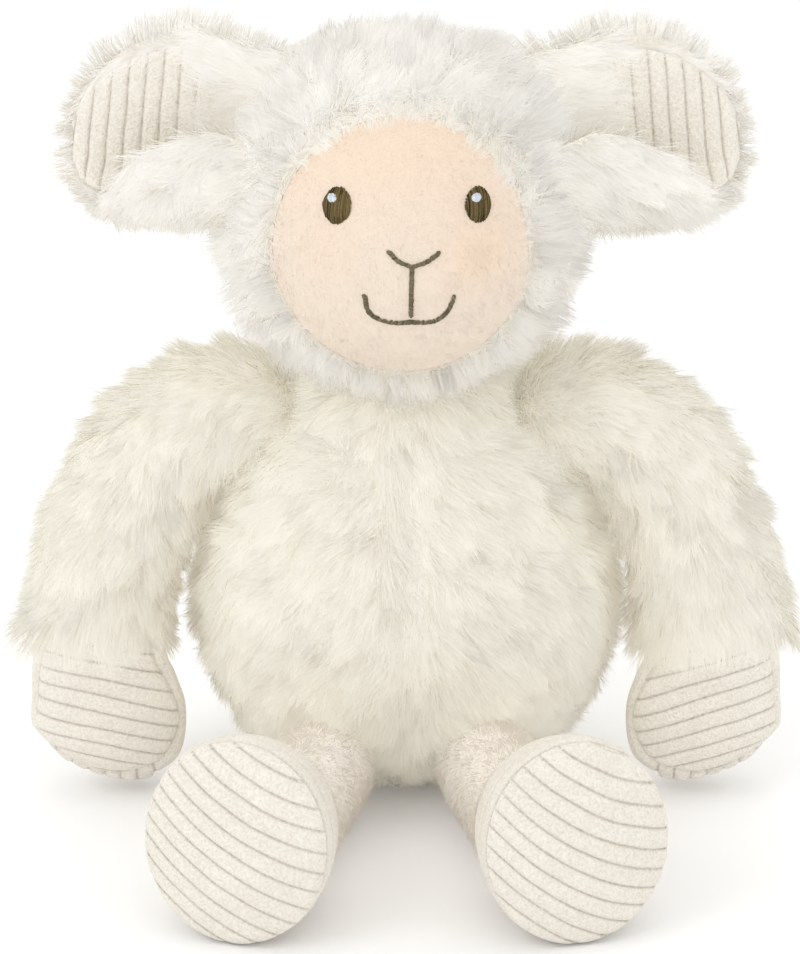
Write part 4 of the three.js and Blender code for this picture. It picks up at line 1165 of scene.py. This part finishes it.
class SHEEP_OT_ears(bpy.types.Operator):
    """Sews the ears, folded up in front at their roots, with their corduroy linings"""
    bl_idname = "sheep.ears"
    bl_label = "Ears"

    def execute(self, context):
        fur, cloth = context.scene.sheep_fur, context.scene.sheep_cloth
        for name, side in SIDES.items():
            front = EAR_THICKNESS / 3
            pad, shares = ear_grid(side, 0, 0, 0, front, front - EAR_THICKNESS, EAR_SKIN, 70, 120, True)
            backing = make_form(f"{name}_ear_backing", pad, fur_backing_material(fur))
            stand_for(backing, f"{name}_ear", [f"{name}_ear_back"])
            coat = coat_of(fur, gather=0.18, lock_gather=0.22, stray=0.2, lift=50, tip_lift=16)
            roots, normals, read = scatter(pad, grid_normals(pad), coat["density"], 140 + side, shares)
            along, upward, in_front = read[:, 0], read[:, 1], read[:, 2] > 0
            half = lining_half(along, upward > LINING_RAISE)
            covered = np.abs(upward - LINING_RAISE) < half - 0.5
            inner = in_front & (upward < -LINING_RAISE) & ~covered & (along > 8)
            keep = ~(in_front & covered)
            comb = np.stack([side * (along - 20) / 22, np.zeros(len(roots)), upward / 20], axis=1)
            comb = np.where((in_front & (along < 14))[:, None], np.array([side * 1.0, 0, -0.1]), comb)
            beside = in_front & (upward > 0) & (upward < half + LINING_RAISE + 2.2) & (along > 11)
            comb = np.where(beside[:, None], np.array([side * 0.6, 0, -0.6]), comb)
            rooted = in_front & (upward > -10) & (along < 12)
            coat["lift"] = np.where(beside[keep, None], 44, np.where(rooted[keep, None], 58, coat["lift"]))
            coat["tip_lift"] = np.where(beside[keep, None], 10, np.where(rooted[keep, None], -10, coat["tip_lift"]))
            tip = np.clip((along[keep, None] - 38) / 8, 0, 1) * in_front[keep, None]
            coat["lift"] = coat["lift"] + 10 * tip
            coat["tip_lift"] = coat["tip_lift"] + 12 * tip
            comb = np.where(((upward < -30) & ~in_front)[:, None], np.array([side * 0.75, 0, -0.35]), comb)
            lengths = np.where(inner, 0.55, np.where(in_front, 0.8, 1)) * (1 - 0.18 * np.clip(along / 50, 0, 1))
            lengths = (np.where(rooted, 1.25, lengths)[:, None] * fur.ear_length / MM)[keep]
            keys = (in_front[keep].astype(int), ("back", "front"))
            grow_fur(f"{name}_ear_fur", roots[keep], normals[keep], comb[keep], lengths, coat, head_fur_material(fur),
                     f"{name}_ear", 150 + side, keys)
            self.lining(name, side, cloth)
        return {"FINISHED"}

    def lining(self, name, side, cloth):
        half = LINING_THICKNESS / 2
        grid, shares = ear_grid(side, LINING_BORDER, LINING_OUT, LINING_RAISE, LINING_DEPTH + half,
                                -LINING_THICKNESS / 4, 0.6, 130, 260, False)
        along = shares[..., 0] + 0.1 * shares[..., 1]
        facing = np.clip(shares[..., 2] * 3, 0, 1)
        ribs, tint = ribbed(grid, grid_normals(grid), along, cloth)
        ribs = grid + (ribs - grid) * facing[..., None]
        lining = make_form(f"{name}_ear_corduroy", ribs, cord_cloth_material(cloth), tint=tint)
        stand_for(lining, f"{name}_ear", [f"{name}_ear_lining"])


class SHEEP_OT_tail(bpy.types.Operator):
    """Sews the short fur tail"""
    bl_idname = "sheep.tail"
    bl_label = "Tail"

    def execute(self, context):
        fur = context.scene.sheep_fur
        sections = np.array([
            (0, TAIL_ROOT[1] + along * TAIL_LENGTH, TAIL_ROOT[2] - drop * TAIL_DROP, half * TAIL_WIDTH / 2,
             half * TAIL_WIDTH / 2) for along, drop, half in TAIL_SECTIONS
        ])
        grid = limb_grid(sections, UPWARD, TAIL_SKIN, 40, 40, 1.5)
        backing = make_form("tail_backing", grid, fur_backing_material(fur))
        stand_for(backing, "tail", ["tail"])
        coat = coat_of(fur, lift=58, tip_lift=26)
        roots, normals, _ = scatter(grid, grid_normals(grid), coat["density"] * 1.3, 160)
        comb = np.tile(np.array([0, 0.7, -0.7]), (len(roots), 1))
        lengths = np.full((len(roots), 1), fur.arm_length / MM * 0.8)
        grow_fur("tail_fur", roots, normals, comb, lengths, coat, body_fur_material(fur), "tail", 161)
        return {"FINISHED"}


class SHEEP_OT_neck(bpy.types.Operator):
    """Fills the seam under the head with fur, which shows where the head nods or turns"""
    bl_idname = "sheep.neck"
    bl_label = "Neck"

    def execute(self, context):
        fur = context.scene.sheep_fur
        tilt = np.radians(np.linspace(20, 36, 14))[:, None]
        turn = np.linspace(0, 2 * math.pi, 90, endpoint=False)
        out = np.stack([
            np.sin(tilt) * np.cos(turn), np.sin(tilt) * np.sin(turn), np.cos(tilt) * np.ones_like(turn),
        ], axis=-1)
        ring = NECK + out * NECK_SEAM_RADIUS
        # The neck's fur is darkened as a whole: painted shade, since it faces up into the light.
        coat = coat_of(fur, lift=34, tip_lift=-24, shade=-0.4, gather=0.1, lock_gather=0.1)
        roots, normals, _ = scatter(ring, out, coat["density"], 170)
        comb = unit((roots - NECK) * (1, 1, 0)) + np.array([0, 0, -0.3])
        lengths = np.full((len(roots), 1), fur.body_length / MM * 0.9)
        grow_fur("neck_fur", roots, normals, comb, lengths, coat, body_fur_material(fur), "neck", 171)
        return {"FINISHED"}


class SHEEP_OT_filling(bpy.types.Operator):
    """Gives the stuffing, the bean bag and the neck seam their cloth and fibre"""
    bl_idname = "sheep.filling"
    bl_label = "Stuffing and bean bag"

    def execute(self, context):
        fur = context.scene.sheep_fur
        fibre = own_material("stuffing_fibre", filling_material, (0.9, 0.87, 0.8), (0.76, 0.72, 0.64), 400)
        bag = own_material("bean_bag_cloth", filling_material, (0.66, 0.64, 0.57), (0.45, 0.43, 0.38), 1500)
        cloths = {name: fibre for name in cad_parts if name.endswith("stuffing")}
        cloths.update(seat_bean_bag=bag, neck_seam=fur_backing_material(fur))
        for name, material in cloths.items():
            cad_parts[name].data.materials.clear()
            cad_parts[name].data.materials.append(material)
        return {"FINISHED"}


# Floor, light and camera

def place_at(name, data, place, target):
    """A light or camera at its place, turned to its target."""
    item = bpy.data.objects.new(name, data)
    item.location = place
    item.rotation_euler = (Vector(target) - Vector(place)).to_track_quat("-Z", "Y").to_euler()
    bpy.context.scene.collection.objects.link(item)
    return item


def add_light(name, place, target, size, watts):
    data = bpy.data.lights.new(name, "AREA")
    data.shape = "DISK"
    data.size = size
    data.energy = watts
    place_at(name, data, place, target)


class SHEEP_OT_stage(bpy.types.Operator):
    """Sets the pale floor, the soft lights and the camera"""
    bl_idname = "sheep.stage"
    bl_label = "Floor, light and camera"

    def execute(self, context):
        stage = context.scene.sheep_stage
        steps = np.linspace(0, math.pi / 2, 16)
        bend = [(900 + 600 * math.sin(a), 600 - 600 * math.cos(a)) for a in steps]
        profile = [(-3000, 0), (0, 0)] + bend + [(1500, 2600)]
        grid = np.array([[(x, y, z) for x in (-3000, 3000)] for y, z in profile], float)
        material, _, _, shader = start_material("pale_floor", 0.9, 0.1)
        shader.inputs["Base Color"].default_value = (*stage.floor, 1)
        floor = make_form("floor", grid, material, closed=False)
        context.scene.view_settings.view_transform = "Standard"
        world = bpy.data.worlds.new("studio")
        context.scene.world = world
        world.use_nodes = True
        background = world.node_tree.nodes["Background"]
        background.inputs["Color"].default_value = (1, 1, 1, 1)
        background.inputs["Strength"].default_value = stage.sky
        target = (0, 0, 0.11)
        add_light("key", (-1.0, -0.8, 1.1), target, 0.9, stage.key)
        add_light("fill", (0.7, -1.1, 0.4), target, 1.1, stage.fill)
        add_light("top", (0.1, 0.25, 1.3), target, 1.0, stage.top)
        data = bpy.data.cameras.new("camera")
        data.sensor_fit = "VERTICAL"
        data.sensor_height = 24
        data.lens = stage.lens / MM
        aim = Vector((stage.aim_across, 0, stage.aim_height))
        high = stage.elevation
        place = aim + Vector((0, -math.cos(high), math.sin(high))) * stage.distance
        context.scene.camera = place_at("camera", data, place, aim)
        return {"FINISHED"}


# Sizes and colours that a user would change

def length(name, description, default):
    return bpy.props.FloatProperty(name=name, description=description, default=default, unit="LENGTH", min=0.0)


def colour(name, description, default):
    return bpy.props.FloatVectorProperty(name=name, description=description, default=default, subtype="COLOR",
                                         size=3, min=0.0, max=1.0)


class SHEEP_PG_fur(bpy.types.PropertyGroup):
    body_length: length("Body fur", "Length of the body's strands", 0.0104)
    head_length: length("Head fur", "Length of the head's strands", 0.0112)
    arm_length: length("Sleeve fur", "Length of the sleeves' strands", 0.0106)
    ear_length: length("Ear fur", "Length of the strands on the backs of the ears", 0.0088)
    strand_width: length("Strand width", "Width of a strand at its root", 0.00025)
    tuft_size: length("Tuft size", "Distance between the middles of neighbouring tufts", 0.0072)
    lock_size: length("Lock size", "Distance between the fine locks in a tuft", 0.0024)
    density: bpy.props.FloatProperty(name="Density", description="Strands to a square millimetre", default=4.6)
    # The root colours are painted shade deep in the coat.
    body_root_shade: colour("Body root", "Colour deep in the body's fur", (0.79, 0.735, 0.62))
    body_middle: colour("Body middle", "Colour halfway up the body's strands", (0.885, 0.845, 0.745))
    body_tip: colour("Body tip", "Colour of the body's strand tips", (0.925, 0.895, 0.80))
    # The head's root colour is painted shade deep in the coat.
    head_root_shade: colour("Head root", "Colour deep in the head's fur", (0.85, 0.815, 0.74))
    head_middle: colour("Head middle", "Colour halfway up the head's strands", (0.925, 0.90, 0.84))
    head_tip: colour("Head tip", "Colour of the head's strand tips", (0.955, 0.93, 0.875))


class SHEEP_PG_cloth(bpy.types.PropertyGroup):
    rib_pitch: length("Rib pitch", "Distance from one corduroy rib to the next", 0.005)
    rib_relief: length("Rib relief", "Height of the corduroy ribs", 0.0009)
    leg_pile: length("Leg pile", "Length of the pile on the legs", 0.0032)
    # The groove colour is painted shade in the grooves and seams.
    groove_shade: colour("Groove", "Colour in the corduroy's grooves", (0.73, 0.68, 0.60))
    ridge: colour("Ridge", "Colour of the corduroy's ribs", (0.92, 0.875, 0.79))
    face_cool: colour("Face cream", "Paler colour of the face", (0.83, 0.745, 0.64))
    face_warm: colour("Face peach", "Warmer colour of the face", (0.87, 0.70, 0.555))
    # The blush is partly the cheek's own colour and partly painted shade.
    face_blush_and_shade: colour("Face blush", "Colour of the blush on the sheep's left cheek", (0.76, 0.61, 0.47))
    leg_dark: colour("Leg shade", "Darker colour of the legs' pile", (0.955, 0.895, 0.815))
    leg_light: colour("Leg light", "Lighter colour of the legs' pile", (0.98, 0.93, 0.86))


class SHEEP_PG_stitches(bpy.types.PropertyGroup):
    thread: length("Thread", "Thickness of the embroidery thread", 0.00042)
    brown_dark: colour("Brown, dark", "Darkest brown of the nose and mouth", (0.105, 0.088, 0.05))
    brown_light: colour("Brown, light", "Lightest brown of the nose and mouth", (0.3, 0.255, 0.155))
    eye_dark: colour("Eye, dark", "Darkest brown of the eyes", (0.03, 0.021, 0.009))
    eye_light: colour("Eye, light", "Lightest brown of the eyes", (0.26, 0.19, 0.075))
    white_dark: colour("Light, dark", "Darker thread of the eyes' lights", (0.62, 0.72, 0.8))
    white_light: colour("Light, pale", "Paler thread of the eyes' lights", (0.9, 0.95, 1.0))


class SHEEP_PG_stage(bpy.types.PropertyGroup):
    floor: colour("Floor", "Colour of the floor", (0.985, 0.985, 0.985))
    sky: bpy.props.FloatProperty(name="Sky", description="Strength of the even light from all round", default=1.0)
    key: bpy.props.FloatProperty(name="Key light", description="Power in watts", default=3.6)
    fill: bpy.props.FloatProperty(name="Fill light", description="Power in watts", default=0.85)
    top: bpy.props.FloatProperty(name="Top light", description="Power in watts", default=1.1)
    distance: length("Distance", "From the camera to the point that it looks at", 1.0)
    aim_height: length("Aim height", "Height that the camera looks at", 0.092)
    aim_across: bpy.props.FloatProperty(name="Aim across", description="Sideways place that the camera looks at",
                                        default=-0.0018, unit="LENGTH")
    lens: length("Lens", "Focal length for a picture 24 mm tall", 0.08385)
    elevation: bpy.props.FloatProperty(name="Elevation", description="How far the camera looks down",
                                       default=math.radians(20), subtype="ANGLE")


class SHEEP_PT_panel(bpy.types.Panel):
    """Lists the sheep's pieces and their sizes and colours"""
    bl_idname = "SHEEP_PT_panel"
    bl_label = "Plush Sheep"
    bl_space_type = "VIEW_3D"
    bl_region_type = "UI"
    bl_category = "Plush Sheep"

    def draw(self, context):
        layout = self.layout
        for operator in OPERATORS:
            layout.operator(operator.bl_idname)
        for group, title in GROUPS.items():
            box = layout.box()
            box.label(text=title)
            settings = getattr(context.scene, group)
            for name in settings.__annotations__:
                box.prop(settings, name)


OPERATORS = [
    SHEEP_OT_stage, SHEEP_OT_filling, SHEEP_OT_body, SHEEP_OT_head, SHEEP_OT_face, SHEEP_OT_embroidery,
    SHEEP_OT_ears, SHEEP_OT_arms, SHEEP_OT_legs, SHEEP_OT_tail, SHEEP_OT_neck,
]
GROUPS = {"sheep_fur": "Fur", "sheep_cloth": "Cloth", "sheep_stitches": "Stitches", "sheep_stage": "Stage"}
CLASSES = [SHEEP_PG_fur, SHEEP_PG_cloth, SHEEP_PG_stitches, SHEEP_PG_stage] + OPERATORS + [SHEEP_PT_panel]


def register():
    for each in CLASSES:
        bpy.utils.register_class(each)
    bpy.types.Scene.sheep_fur = bpy.props.PointerProperty(type=SHEEP_PG_fur)
    bpy.types.Scene.sheep_cloth = bpy.props.PointerProperty(type=SHEEP_PG_cloth)
    bpy.types.Scene.sheep_stitches = bpy.props.PointerProperty(type=SHEEP_PG_stitches)
    bpy.types.Scene.sheep_stage = bpy.props.PointerProperty(type=SHEEP_PG_stage)


def unregister():
    for group in GROUPS:
        delattr(bpy.types.Scene, group)
    for each in reversed(CLASSES):
        bpy.utils.unregister_class(each)


def main():
    register()
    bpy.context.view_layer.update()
    bpy.ops.sheep.stage()
    bpy.ops.sheep.filling()
    bpy.ops.sheep.body()
    bpy.ops.sheep.head()
    bpy.ops.sheep.face()
    bpy.ops.sheep.embroidery()
    bpy.ops.sheep.ears()
    bpy.ops.sheep.arms()
    bpy.ops.sheep.legs()
    bpy.ops.sheep.tail()
    bpy.ops.sheep.neck()


if __name__ == "__main__":
    main()
